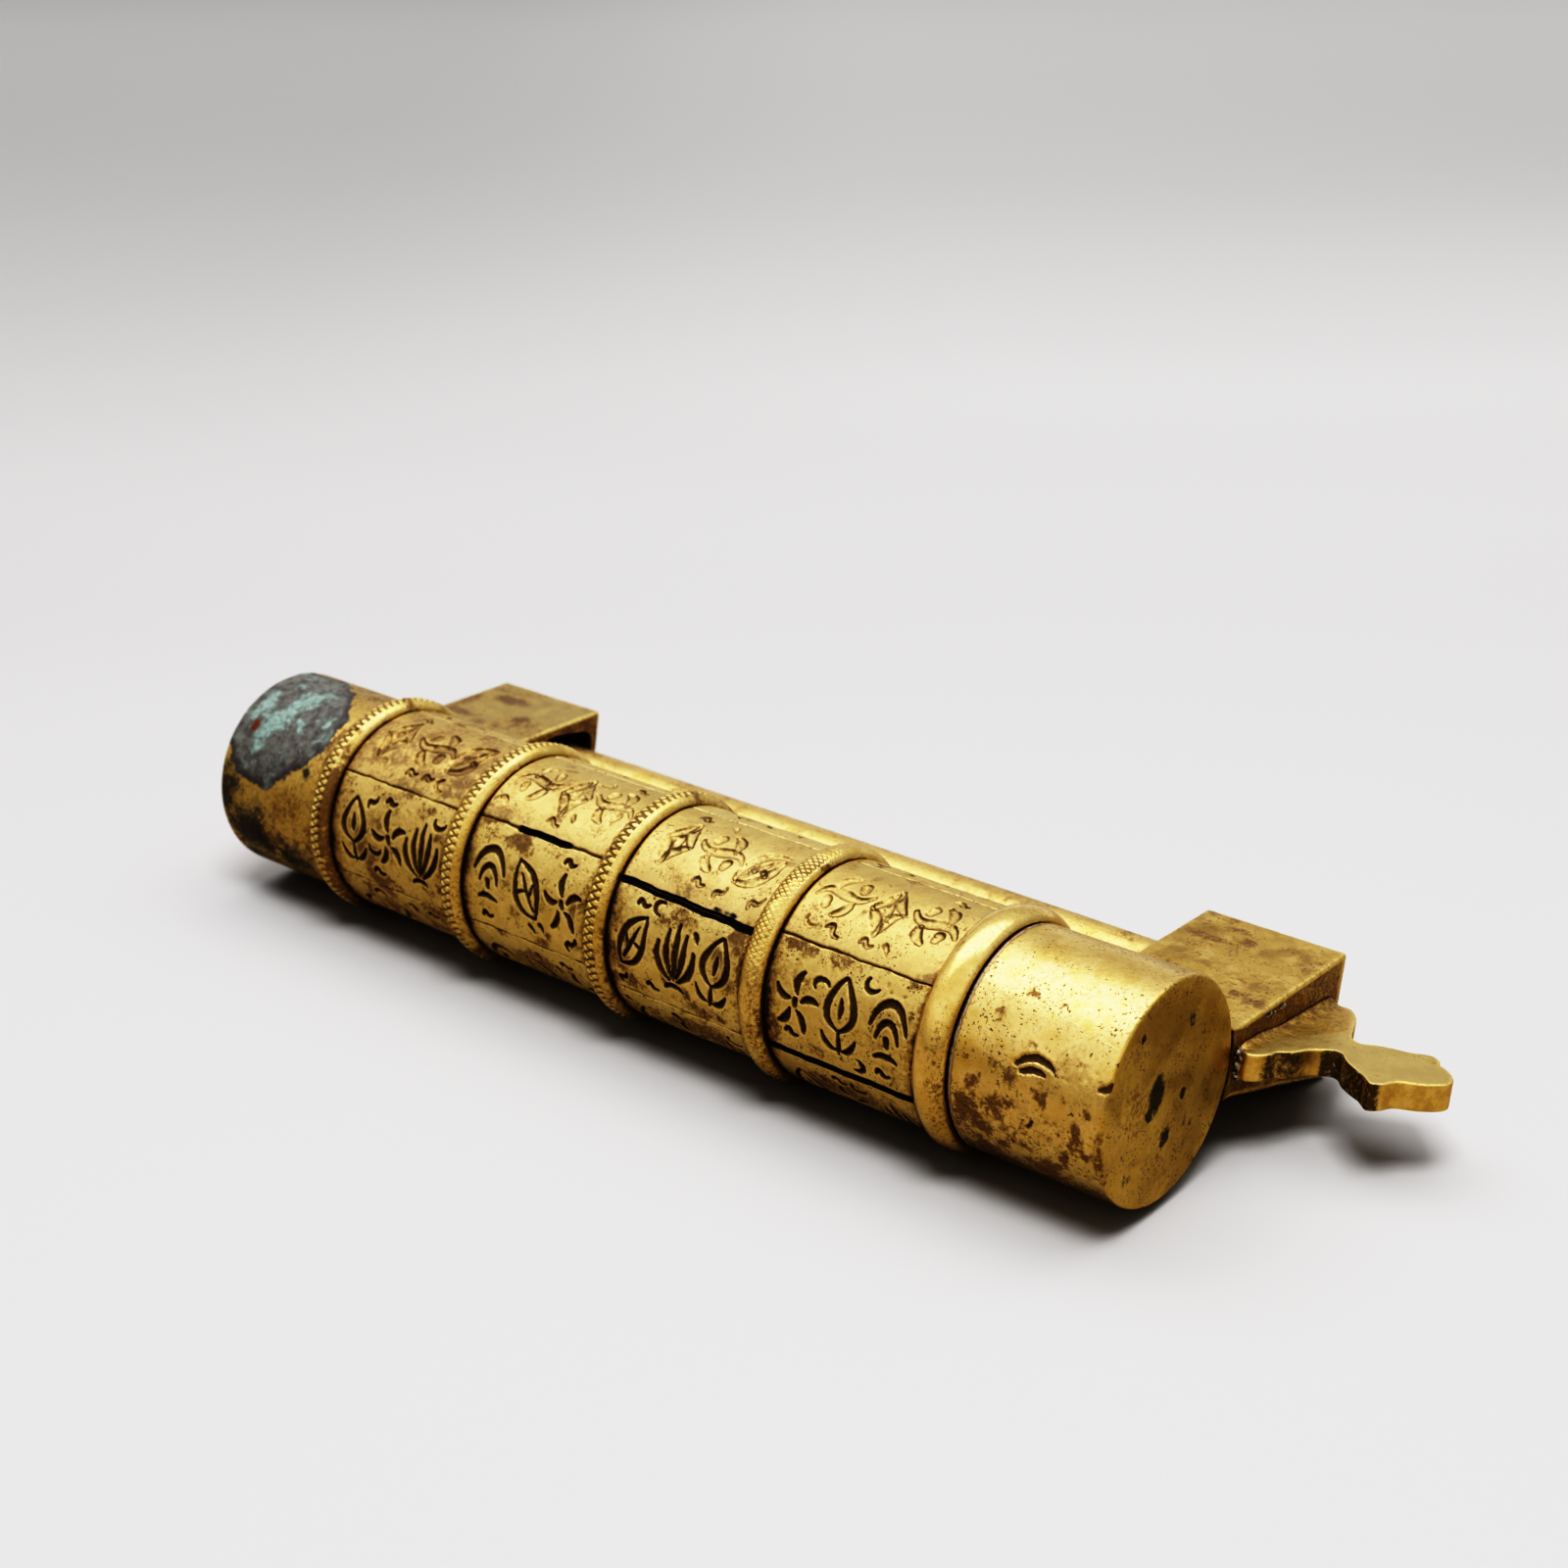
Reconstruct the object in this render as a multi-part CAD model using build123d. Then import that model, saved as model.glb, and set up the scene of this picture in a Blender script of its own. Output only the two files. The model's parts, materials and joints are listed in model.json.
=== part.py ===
from build123d import *
import os
from math import asin, atan2, cos, degrees, hypot, radians, sin

# Horizontal brass combination padlock ("bamboo" pattern).
# The fixed left end carries a slotted hollow spindle, on which four dials turn. Each dial is an
# engraved drum with a raised bead at its right end. The right end, its arm, the shackle bar and
# the toothed bolt stem slide as one: when every dial's keyway lines up with the spindle slot,
# the teeth pass through and the assembly pulls out to the right.
#
# Pieces are drawn in the lock's own frame: X runs right along the spindle axis, Y from the
# spindle towards the shackle bar, Z through the thickness. place() then lays them on the ground,
# Z = 0, resting on the beads and the lower outer corners of the arms. Lengths in millimetres.

CUT = 1.0                       # how far a cutter runs past the face it opens

# ---- dials ----------------------------------------------------------------------------------
DIAL_START_X = -10.0            # left end of the first dial
DIAL_COUNT = 4
DIAL_PITCH = 25.5               # also the length of every dial but the last
LAST_DIAL_LENGTH = 26.8
PARTING = 0.12                  # half of the gap between neighbouring turning pieces
DIAL_RADIUS = 14.0
DIAL_CHAMFER = 0.35
KEYWAY_RADIUS = 9.8
GROOVE_RADIUS = 10.3            # annular groove that a tooth turns free in
GROOVE_LENGTH = 6.0

# Panel lines engraved along each drum
PANELS = 6
LINE_WIDTH = 0.55
LINE_DEPTH = 0.35
LINE_END_GAP = 0.01             # from the line's end to the bead seat
LINE_ANGLES = (32.4, 34.8, 29.2, 31.7)   # first line of each dial, from -Y towards +Z

# ---- beads ----------------------------------------------------------------------------------
BEAD_RADIUS = 15.3              # at the crest
BEAD_SEAT_RADIUS = 13.3         # turned seat that each bead is soldered on
BEAD_SHOULDER_RADIUS = DIAL_RADIUS - 0.15
BEAD_WIDTH = 3.45
LAST_BEAD_WIDTH = 4.5
BEAD_ARC_ANGLES = (160, 140, 120, 100, 90, 80, 60, 40, 20)   # section points, left to right

# ---- end caps -------------------------------------------------------------------------------
LEFT_END_X = -33.3              # outer face of the left cap
LEFT_BEAD_X = -13.5             # left side of the left cap's bead
LEFT_CAP_RADIUS = 13.97
LEFT_CAP_CHAMFER = 0.5
LEFT_CAP_FACE_X = DIAL_START_X - PARTING
DIALS_END_X = DIAL_START_X + (DIAL_COUNT - 1) * DIAL_PITCH + LAST_DIAL_LENGTH
RIGHT_CAP_FACE_X = DIALS_END_X + PARTING
RIGHT_END_X = 114.0             # outer face of the right cap
RIGHT_CAP_RADIUS = 13.82
RIGHT_CAP_INNER_CHAMFER = 0.3
RIGHT_CAP_OUTER_CHAMFER = 0.4
RECESS_RADIUS = 11.6            # recess in the right cap for the collar
RECESS_END_X = 98.0

# ---- bolt stem and teeth --------------------------------------------------------------------
STEM_RADIUS = 4.5
STEM_START_X = 1.0
STEM_SEAT_X = 108.0             # bottom of the stem's hole in the right cap
TOOTH_STATION = 15.0            # tooth centre, from the left end of its dial
TOOTH_RADIUS = 9.4
TOOTH_LENGTH = 3.0              # along the spindle
TOOTH_WIDTH = 3.0               # across the slot
TOOTH_ROOT_DEPTH = 2.0          # how far a tooth is let into the stem

# ---- spindle --------------------------------------------------------------------------------
TUBE_RADIUS = 7.0
TUBE_BORE_RADIUS = STEM_RADIUS + 0.08    # sliding fit
DIAL_BORE_RADIUS = TUBE_RADIUS + 0.05    # running fit
TUBE_START_X = -27.0
TUBE_END_X = 97.2
TUBE_FLOOR = 3.0                # solid length at the left end
SLOT_START_X = -1.0
SLOT_WIDTH = 3.6                # spindle slot and keyways
COLLAR_RADIUS = 11.0
COLLAR_LENGTH = 3.0
COLLAR_GAP = 0.3                # axial play between the last dial and the collar
COLLAR_START_X = DIALS_END_X + COLLAR_GAP

# ---- arms and shackle bar: Y distances are from the spindle axis ----------------------------
ARM_WIDTH = 19.7                # along X
LEFT_ARM_X = -31.3              # left side of the left arm
RIGHT_ARM_X = RIGHT_END_X - ARM_WIDTH
ARM_BLANK_Y = 9.0               # where the blank starts, inside the cap
ARM_INNER_Y = 14.0              # where the arm leaves the cap
ARM_OUTER_Y = 40.3
ARM_INNER_HALF = 4.47           # half thickness at ARM_INNER_Y
ARM_OUTER_HALF = 8.3            # half thickness at ARM_OUTER_Y
ARM_HOLE = 10.8                 # rounded square hole in the left arm
ARM_HOLE_CORNER = 3.4
BAR_Y = 33.6
BAR_RADIUS = 4.06
BAR_START_X = -28.5
BAR_CHAMFER = 1.0
TENON_RADIUS = 3.2
TENON_END_X = RIGHT_ARM_X + 12.0

# ---- finial plate: a flat cut plate on the right arm's end face -----------------------------
FINIAL_THICKNESS = 3.4
FINIAL_OUTLINE = [   # (distance from the right end face, distance from the spindle axis)
    (0.0, 15.4), (1.5, 14.4), (2.7, 15.3), (3.5, 16.7), (3.6, 18.2), (4.8, 19.6), (5.7, 22.3),
    (7.2, 24.0), (8.3, 24.3), (9.9, 22.5), (11.6, 21.2), (13.2, 20.2), (14.7, 18.7), (15.6, 18.7),
    (16.5, 20.0), (16.9, 21.4), (17.6, 22.3), (19.2, 23.3), (20.7, 25.0), (21.4, 26.6),
    (21.0, 28.2), (19.9, 29.8), (18.8, 30.7), (17.9, 31.3), (17.3, 32.4), (16.2, 33.2),
    (15.1, 33.0), (13.7, 32.1), (11.5, 31.4), (9.9, 30.7), (8.4, 29.6), (7.0, 30.4),
    (5.9, 32.8), (5.0, 35.0), (3.9, 37.3), (2.5, 39.1), (1.2, 39.5), (0.0, 38.8)]

# ---- resting position -----------------------------------------------------------------------
# The tilt puts the beads and the arms' lower outer corners on the same plane.
CORNER_REACH = hypot(ARM_OUTER_Y, ARM_OUTER_HALF)
TILT = degrees(asin(BEAD_RADIUS / CORNER_REACH) - atan2(ARM_OUTER_HALF, ARM_OUTER_Y))
FINIAL_TIP_X = RIGHT_END_X + max(x for x, y in FINIAL_OUTLINE)
MID_X = (LEFT_END_X + FINIAL_TIP_X) / 2
ARM_REACH_Y = ARM_OUTER_Y * cos(radians(TILT)) + ARM_OUTER_HALF * sin(radians(TILT))
MID_Y = (ARM_REACH_Y - BEAD_RADIUS) / 2


def place(shape):
    """Lay a shape drawn in the lock's frame on the ground, centred over the origin."""
    return Location((-MID_X, -MID_Y, BEAD_RADIUS)) * Rotation(-TILT, 0, 0) * shape


# ---- shared shapes --------------------------------------------------------------------------
def rod(radius, x0, x1):
    """Solid cylinder on the X axis from x0 to x1."""
    return Pos((x0 + x1) / 2, 0, 0) * Rotation(0, 90, 0) * Cylinder(radius, x1 - x0)


def block(x0, x1, y0, y1, width):
    """Box with its Z width centred on the lock's plane."""
    return Pos((x0 + x1) / 2, (y0 + y1) / 2, 0) * Box(x1 - x0, y1 - y0, width)


def slot_cutter(x0, x1, depth):
    """Cutter for a slot on the -Y side, from the axis out to depth."""
    return block(x0, x1, -depth, 0, SLOT_WIDTH)


def revolve_x(points):
    """Revolve a closed (x, radius) profile about the X axis."""
    face = make_face(Plane.XY * Polyline(*points, close=True))
    return revolve(face, Axis.X, 360)


def bead(x0, x1):
    """Ring with a rounded crest, sitting on its turned seat."""
    middle, half = (x0 + x1) / 2, (x1 - x0) / 2
    rise = BEAD_RADIUS - BEAD_SHOULDER_RADIUS
    arc = [(middle + half * cos(radians(a)), BEAD_SHOULDER_RADIUS + rise * sin(radians(a)))
           for a in BEAD_ARC_ANGLES]
    return revolve_x([(x0, BEAD_SEAT_RADIUS), (x0, BEAD_SHOULDER_RADIUS), *arc,
                      (x1, BEAD_SHOULDER_RADIUS), (x1, BEAD_SEAT_RADIUS)])


def arm_blank(x0):
    """Flared arm: thicker towards its outer end, symmetrical about the lock's plane."""
    flare = (ARM_OUTER_HALF - ARM_INNER_HALF) / (ARM_OUTER_Y - ARM_INNER_Y)
    blank_half = ARM_INNER_HALF - flare * (ARM_INNER_Y - ARM_BLANK_Y)
    corners = [(x0, ARM_BLANK_Y, -blank_half), (x0, ARM_OUTER_Y, -ARM_OUTER_HALF),
               (x0, ARM_OUTER_Y, ARM_OUTER_HALF), (x0, ARM_BLANK_Y, blank_half)]
    return extrude(make_face(Polyline(*corners, close=True)), ARM_WIDTH, dir=(1, 0, 0))


# ---- left end: fixed ------------------------------------------------------------------------
def left_cap_blank():
    return revolve_x([
        (LEFT_END_X, 0), (LEFT_END_X, LEFT_CAP_RADIUS - LEFT_CAP_CHAMFER),
        (LEFT_END_X + LEFT_CAP_CHAMFER, LEFT_CAP_RADIUS), (LEFT_BEAD_X, LEFT_CAP_RADIUS),
        (LEFT_BEAD_X, BEAD_SEAT_RADIUS), (LEFT_CAP_FACE_X, BEAD_SEAT_RADIUS),
        (LEFT_CAP_FACE_X, 0)])


def left_cap():
    return left_cap_blank() - rod(TUBE_RADIUS, TUBE_START_X, LEFT_CAP_FACE_X + CUT)


def left_bead():
    return bead(LEFT_BEAD_X, LEFT_CAP_FACE_X) - arm_blank(LEFT_ARM_X)


def left_arm():
    arm = arm_blank(LEFT_ARM_X) - left_cap_blank()
    hole = (Plane.YZ.offset(LEFT_ARM_X - CUT) * Pos(BAR_Y, 0)
            * RectangleRounded(ARM_HOLE, ARM_HOLE, ARM_HOLE_CORNER))
    return arm - extrude(hole, ARM_WIDTH + 2 * CUT, dir=(1, 0, 0))


# ---- spindle --------------------------------------------------------------------------------
def spindle_tube():
    tube = rod(TUBE_RADIUS, TUBE_START_X, TUBE_END_X)
    tube -= rod(TUBE_BORE_RADIUS, TUBE_START_X + TUBE_FLOOR, TUBE_END_X + CUT)
    return tube - slot_cutter(SLOT_START_X, TUBE_END_X + CUT, TUBE_RADIUS + CUT)


def spindle_collar():
    """C-shaped collar that keeps the dials on the spindle."""
    x0 = COLLAR_START_X
    collar = rod(COLLAR_RADIUS, x0, x0 + COLLAR_LENGTH)
    collar -= rod(TUBE_RADIUS, x0 - CUT, TUBE_END_X + CUT)
    return collar - slot_cutter(x0 - CUT, TUBE_END_X + CUT, COLLAR_RADIUS + CUT)


# ---- dials ----------------------------------------------------------------------------------
def dial(x0, x1, seat_x, tooth_x, line_angle):
    """Drum from x0 to x1, stepped down from seat_x on to take its bead."""
    drum = revolve_x([
        (x0, DIAL_BORE_RADIUS), (x0, DIAL_RADIUS - DIAL_CHAMFER), (x0 + DIAL_CHAMFER, DIAL_RADIUS),
        (seat_x, DIAL_RADIUS), (seat_x, BEAD_SEAT_RADIUS), (x1, BEAD_SEAT_RADIUS),
        (x1, DIAL_BORE_RADIUS)])
    drum -= rod(GROOVE_RADIUS, tooth_x - GROOVE_LENGTH / 2, tooth_x + GROOVE_LENGTH / 2)
    drum -= slot_cutter(x0 - CUT, x1 + CUT, KEYWAY_RADIUS)
    line = block(x0 - CUT, seat_x - LINE_END_GAP,
                 -DIAL_RADIUS - CUT, -(DIAL_RADIUS - LINE_DEPTH), LINE_WIDTH)
    for k in range(PANELS):
        drum -= Rotation(-(line_angle + 360 / PANELS * k), 0, 0) * line
    return drum


# ---- right end: slides out as one -----------------------------------------------------------
def right_cap():
    x0, x1 = RIGHT_CAP_FACE_X, RIGHT_END_X
    cap = revolve_x([
        (x0, 0), (x0, RIGHT_CAP_RADIUS - RIGHT_CAP_INNER_CHAMFER),
        (x0 + RIGHT_CAP_INNER_CHAMFER, RIGHT_CAP_RADIUS),
        (x1 - RIGHT_CAP_OUTER_CHAMFER, RIGHT_CAP_RADIUS),
        (x1, RIGHT_CAP_RADIUS - RIGHT_CAP_OUTER_CHAMFER), (x1, 0)])
    cap -= rod(RECESS_RADIUS, x0 - CUT, RECESS_END_X)
    return cap - rod(STEM_RADIUS, RECESS_END_X - CUT, STEM_SEAT_X)


def right_arm():
    arm = arm_blank(RIGHT_ARM_X)
    arm -= rod(RIGHT_CAP_RADIUS, RIGHT_CAP_FACE_X - CUT, RIGHT_END_X + CUT)
    return arm - Pos(0, BAR_Y, 0) * rod(TENON_RADIUS, RIGHT_ARM_X - CUT, TENON_END_X)


def shackle_bar():
    """Round bar with a tenon that fits the right arm."""
    return Pos(0, BAR_Y, 0) * revolve_x([
        (BAR_START_X, 0), (BAR_START_X, BAR_RADIUS - BAR_CHAMFER),
        (BAR_START_X + BAR_CHAMFER, BAR_RADIUS), (RIGHT_ARM_X, BAR_RADIUS),
        (RIGHT_ARM_X, TENON_RADIUS), (TENON_END_X, TENON_RADIUS), (TENON_END_X, 0)])


def bolt_tooth(x):
    """Tooth centred at x, its tip rounded about the spindle axis."""
    blank = block(x - TOOTH_LENGTH / 2, x + TOOTH_LENGTH / 2,
                  -TOOTH_RADIUS, -(STEM_RADIUS - TOOTH_ROOT_DEPTH), TOOTH_WIDTH)
    return blank & rod(TOOTH_RADIUS, x - TOOTH_LENGTH, x + TOOTH_LENGTH)


def finial_plate():
    outline = [(RIGHT_END_X + x, y, -FINIAL_THICKNESS / 2) for x, y in FINIAL_OUTLINE]
    return extrude(make_face(Polyline(*outline, close=True)), FINIAL_THICKNESS, dir=(0, 0, 1))


# ---- build and write ------------------------------------------------------------------------
parts = {
    "left_end_cap": left_cap(),
    "left_end_bead": left_bead(),
    "left_arm": left_arm(),
    "spindle_tube": spindle_tube(),
    "spindle_collar": spindle_collar(),
    "right_end_cap": right_cap(),
    "right_arm": right_arm(),
    "shackle_bar": shackle_bar(),
    "finial_plate": finial_plate(),
}

stem = rod(STEM_RADIUS, STEM_START_X, STEM_SEAT_X)
for i in range(DIAL_COUNT):
    last = i == DIAL_COUNT - 1
    start = DIAL_START_X + i * DIAL_PITCH
    end = start + (LAST_DIAL_LENGTH if last else DIAL_PITCH)
    seat_x = end - (LAST_BEAD_WIDTH if last else BEAD_WIDTH)
    tooth_x = start + TOOTH_STATION
    parts[f"dial_{i + 1}"] = dial(start + PARTING, end - PARTING, seat_x, tooth_x, LINE_ANGLES[i])
    parts[f"dial_{i + 1}_bead"] = bead(seat_x, end - PARTING)
    tooth = bolt_tooth(tooth_x)
    stem -= tooth
    parts[f"bolt_tooth_{i + 1}"] = tooth
parts["bolt_stem"] = stem

os.makedirs("parts", exist_ok=True)
for name, shape in parts.items():
    placed = place(shape)
    placed.label = name
    export_step(placed, f"parts/{name}.step")
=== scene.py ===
# Looks for a horizontal brass combination padlock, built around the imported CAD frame.
# The spindle runs along x with the left cap at low x, and the shackle bar lies parallel to it.
# Lock coordinates in mm: x along the spindle, u from its axis towards the bar, v across both.
# Angles about the axis start at -u, away from the bar, and grow towards +v.
import itertools
import json
import math

import bmesh
import bpy
import numpy as np
from mathutils import Matrix, Vector
from mathutils.geometry import tessellate_polygon


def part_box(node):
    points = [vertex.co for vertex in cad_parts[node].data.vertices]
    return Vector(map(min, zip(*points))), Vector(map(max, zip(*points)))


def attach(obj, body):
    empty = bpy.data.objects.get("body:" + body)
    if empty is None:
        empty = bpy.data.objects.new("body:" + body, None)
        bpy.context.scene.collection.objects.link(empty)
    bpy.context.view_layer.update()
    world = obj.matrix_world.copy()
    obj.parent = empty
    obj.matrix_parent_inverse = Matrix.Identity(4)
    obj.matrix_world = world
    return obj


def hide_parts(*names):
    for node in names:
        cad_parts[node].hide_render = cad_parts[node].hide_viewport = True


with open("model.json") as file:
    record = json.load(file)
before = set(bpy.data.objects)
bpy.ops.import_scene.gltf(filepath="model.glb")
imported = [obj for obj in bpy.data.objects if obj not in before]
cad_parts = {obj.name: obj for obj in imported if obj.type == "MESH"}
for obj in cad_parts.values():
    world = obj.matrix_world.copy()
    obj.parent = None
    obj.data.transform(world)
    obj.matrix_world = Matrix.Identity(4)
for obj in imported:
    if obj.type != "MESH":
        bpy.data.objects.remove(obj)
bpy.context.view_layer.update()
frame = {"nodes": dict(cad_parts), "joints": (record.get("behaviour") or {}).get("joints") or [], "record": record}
NODES = frame["nodes"]
JOINTS = {joint["name"]: joint for joint in frame["joints"]}
MOUNTS = {mount["name"]: mount for mount in frame["record"]["mounts"]}

# ---------------------------------------------------------------------------------------------
# the lock's axes and sizes, read from the frame
# ---------------------------------------------------------------------------------------------
MM = 1000.0  # mm in a metre
AXIS = np.array(JOINTS["dial_1_turn"]["pos_m"], float) * MM
BAR = np.array(MOUNTS["shackle_bar_hasp"]["pos_m"], float) * MM
BAR_U = math.hypot(BAR[1] - AXIS[1], BAR[2] - AXIS[2])
TILT = math.atan2(AXIS[2] - BAR[2], BAR[1] - AXIS[1])
COS_TILT, SIN_TILT = math.cos(TILT), math.sin(TILT)


def x_span(node):
    low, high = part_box(node)
    return low.x * MM, high.x * MM


def radius_of(node):
    low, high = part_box(node)
    return (high.y - low.y) * MM / 2


def to_row(x, u, v):
    """lock coordinates in mm -> row frame in metres, (..., 3)"""
    x, u, v = np.broadcast_arrays(np.asarray(x, float), np.asarray(u, float), np.asarray(v, float))
    y = AXIS[1] + u * COS_TILT + v * SIN_TILT
    z = AXIS[2] - u * SIN_TILT + v * COS_TILT
    return np.stack([x, y, z], -1) / MM


def around(x, radius, theta, centre_u=0.0):
    """row-frame points at a radius and an angle in radians from -u"""
    return to_row(x, centre_u - radius * np.cos(theta), radius * np.sin(theta))


X0 = x_span("left_end_cap")[0] + 33.3  # row x of the lock's x = 0 station
R_DIAL = radius_of("dial_1")
R_BEAD = radius_of("dial_1_bead")
R_LCAP = radius_of("left_end_cap")
R_RCAP = radius_of("right_end_cap")

# ---------------------------------------------------------------------------------------------
# numbers and noise
# ---------------------------------------------------------------------------------------------


def smooth(start, end, x):
    t = np.clip((x - start) / (end - start), 0, 1)
    return t * t * (3 - 2 * t)


def unit(x):
    return np.clip(x, 0, 1)


def wrap(degrees):
    return (degrees + 180) % 360 - 180


def cell_hash(cell, seed):
    n = (cell[..., 0] * 374761393 + cell[..., 1] * 668265263
         + cell[..., 2] * 1440662683 + seed * 1274126177) & 0xFFFFFFFF
    n = ((n ^ (n >> 13)) * 1274126177) & 0xFFFFFFFF
    n = n ^ (n >> 16)
    return (n & 0xFFFF) / 65535.0


def value_noise(points, scale, seed):
    scaled = points / scale
    cell = np.floor(scaled).astype(np.int64)
    part = scaled - cell
    part = part * part * (3 - 2 * part)
    total = 0
    for corner in itertools.product((0, 1), repeat=3):
        weight = np.where(corner, part, 1 - part)
        weight = weight[..., 0] * weight[..., 1] * weight[..., 2]
        total = total + weight * cell_hash(cell + corner, seed)
    return total * 2 - 1


def fbm(points, scale, seed, octaves):
    total, gain, weight = 0, 1.0, 0
    for octave in range(octaves):
        total = total + gain * value_noise(points, scale / 2 ** octave, seed + 17 * octave)
        weight += gain
        gain *= 0.5
    return total / weight


# ---------------------------------------------------------------------------------------------
# mesh building
# ---------------------------------------------------------------------------------------------


def signed_volume(points, faces):
    a, b, c = points[faces[:, 0]], points[faces[:, 1]], points[faces[:, 2]]
    return np.einsum("ij,ij->i", a, np.cross(b, c)).sum()


def build_mesh(name, points, quads, tris=None, attrs=None, sharp=40):
    """points (..., 3) in row metres; attrs are per-vertex values; sharp is an angle in degrees"""
    points = points.reshape(-1, 3)
    quads = np.asarray(quads, np.int32).reshape(-1, 4)
    tris = np.asarray([] if tris is None else tris, np.int32).reshape(-1, 3)
    # turn the faces outward
    centred = points - points.mean(0)
    if sum(signed_volume(centred, f) for f in (quads[:, [0, 1, 2]], quads[:, [0, 2, 3]], tris)) < 0:
        quads, tris = quads[:, ::-1], tris[:, ::-1]
    mesh = bpy.data.meshes.new(name)
    mesh.vertices.add(len(points))
    mesh.vertices.foreach_set("co", np.ascontiguousarray(points, np.float32).ravel())
    mesh.loops.add(quads.size + tris.size)
    corners = np.concatenate([quads.ravel(), tris.ravel()]).astype(np.int32)
    mesh.loops.foreach_set("vertex_index", corners)
    mesh.polygons.add(len(quads) + len(tris))
    starts = [np.arange(len(quads)) * 4, quads.size + np.arange(len(tris)) * 3]
    mesh.polygons.foreach_set("loop_start", np.concatenate(starts).astype(np.int32))
    mesh.polygons.foreach_set("use_smooth", np.ones(len(quads) + len(tris), bool))
    mesh.update(calc_edges=True)
    mesh.validate()
    for key, values in (attrs or {}).items():
        layer = mesh.attributes.new(key, "FLOAT", "POINT")
        layer.data.foreach_set("value", np.ascontiguousarray(values, np.float32).ravel())
    mesh.set_sharp_from_angle(angle=math.radians(sharp))
    obj = bpy.data.objects.new(name, mesh)
    bpy.context.scene.collection.objects.link(obj)
    return obj


def grid_quads(rows, cols, wrap_rows=False, wrap_cols=True):
    i = np.arange(rows if wrap_rows else rows - 1)
    j = np.arange(cols if wrap_cols else cols - 1)
    i, j = np.meshgrid(i, j, indexing="ij")
    i_next, j_next = (i + 1) % rows, (j + 1) % cols
    quads = [i * cols + j, i * cols + j_next, i_next * cols + j_next, i_next * cols + j]
    return np.stack(quads, -1).reshape(-1, 4)


def pole_fans(rows, cols):
    """triangles from two pole vertices, stored after the grid, to its first and last rows"""
    j = np.arange(cols)
    first, last = (np.stack([np.full(cols, rows * cols + end), base + j,
                             base + (j + 1) % cols], -1)
                   for end, base in enumerate((0, (rows - 1) * cols)))
    return np.concatenate([first[:, ::-1], last])


def close_ends(grid):
    """points of a (rows, cols, 3) tube with two end centres added, and the end triangles"""
    rows, cols = grid.shape[:2]
    fans = []
    for end, col in enumerate((0, cols - 1)):
        ring = np.arange(rows) * cols + col
        tris = np.stack([np.full(rows, rows * cols + end), ring, np.roll(ring, -1)], -1)
        fans.append(tris[:, ::-1] if end else tris)
    centres = np.array([grid[:, 0].mean(0), grid[:, -1].mean(0)])
    return np.concatenate([grid.reshape(-1, 3), centres]), np.concatenate(fans)


def join(*parts):
    return np.concatenate([np.ravel(part) for part in parts])


ROUND_STEPS = 5  # segments in each rounded corner


def rounded(points, radii, steps):
    """2-D polyline, resampled. radii: corner index -> radius; steps: spacing on each segment"""
    points = [np.array(point, float) for point in points]
    out = [points[0]]
    for k in range(1, len(points)):
        start = out[-1]
        entry = points[k]
        if k in radii:
            before = points[k] - points[k - 1]
            before /= np.linalg.norm(before)
            after = points[k + 1] - points[k]
            after /= np.linalg.norm(after)
            half_turn = math.acos(float(np.clip(before @ after, -1, 1))) / 2
            trim = radii[k] * math.tan(half_turn)
            entry, leave = points[k] - before * trim, points[k] + after * trim
        count = max(1, int(round(np.linalg.norm(entry - start) / steps[k - 1])))
        for q in range(1, count + 1):
            out.append(start + (entry - start) * q / count)
        if k in radii:
            normal = np.array([-before[1], before[0]])
            if normal @ after < 0:
                normal = -normal
            centre = entry + normal * radii[k]
            from_angle = math.atan2(*(entry - centre)[::-1])
            to_angle = math.atan2(*(leave - centre)[::-1])
            sweep = (to_angle - from_angle + math.pi) % (2 * math.pi) - math.pi
            for q in range(1, ROUND_STEPS + 1):
                turn = from_angle + sweep * q / ROUND_STEPS
                out.append(centre + radii[k] * np.array([math.cos(turn), math.sin(turn)]))
    return np.array(out)


def left_normals(loop):
    """unit normals to the left of a closed 2-D loop's direction"""
    tangent = np.roll(loop, -1, 0) - np.roll(loop, 1, 0)
    tangent /= np.linalg.norm(tangent, axis=1)[:, None]
    return np.stack([-tangent[:, 1], tangent[:, 0]], 1)


# ---------------------------------------------------------------------------------------------
# marks on turned surfaces
# ---------------------------------------------------------------------------------------------


def segment_distance(p, q, start, end):
    """distance of points (p, q) to a segment, and the position 0..1 along it"""
    dx, dy = end[0] - start[0], end[1] - start[1]
    squared = dx * dx + dy * dy + 1e-12
    t = np.clip(((p - start[0]) * dx + (q - start[1]) * dy) / squared, 0, 1)
    return np.hypot(p - start[0] - t * dx, q - start[1] - t * dy), t


def stroke_distance(p, q, line, widths, start=99.0, least=0.0):
    """distance to a polyline in units of its half width there, no more than start"""
    best = np.full(p.shape, start)
    for k in range(len(line) - 1):
        dist, t = segment_distance(p, q, line[k], line[k + 1])
        width = widths[k] + (widths[k + 1] - widths[k]) * t
        best = np.minimum(best, dist / np.maximum(width, least))
    return best


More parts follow.
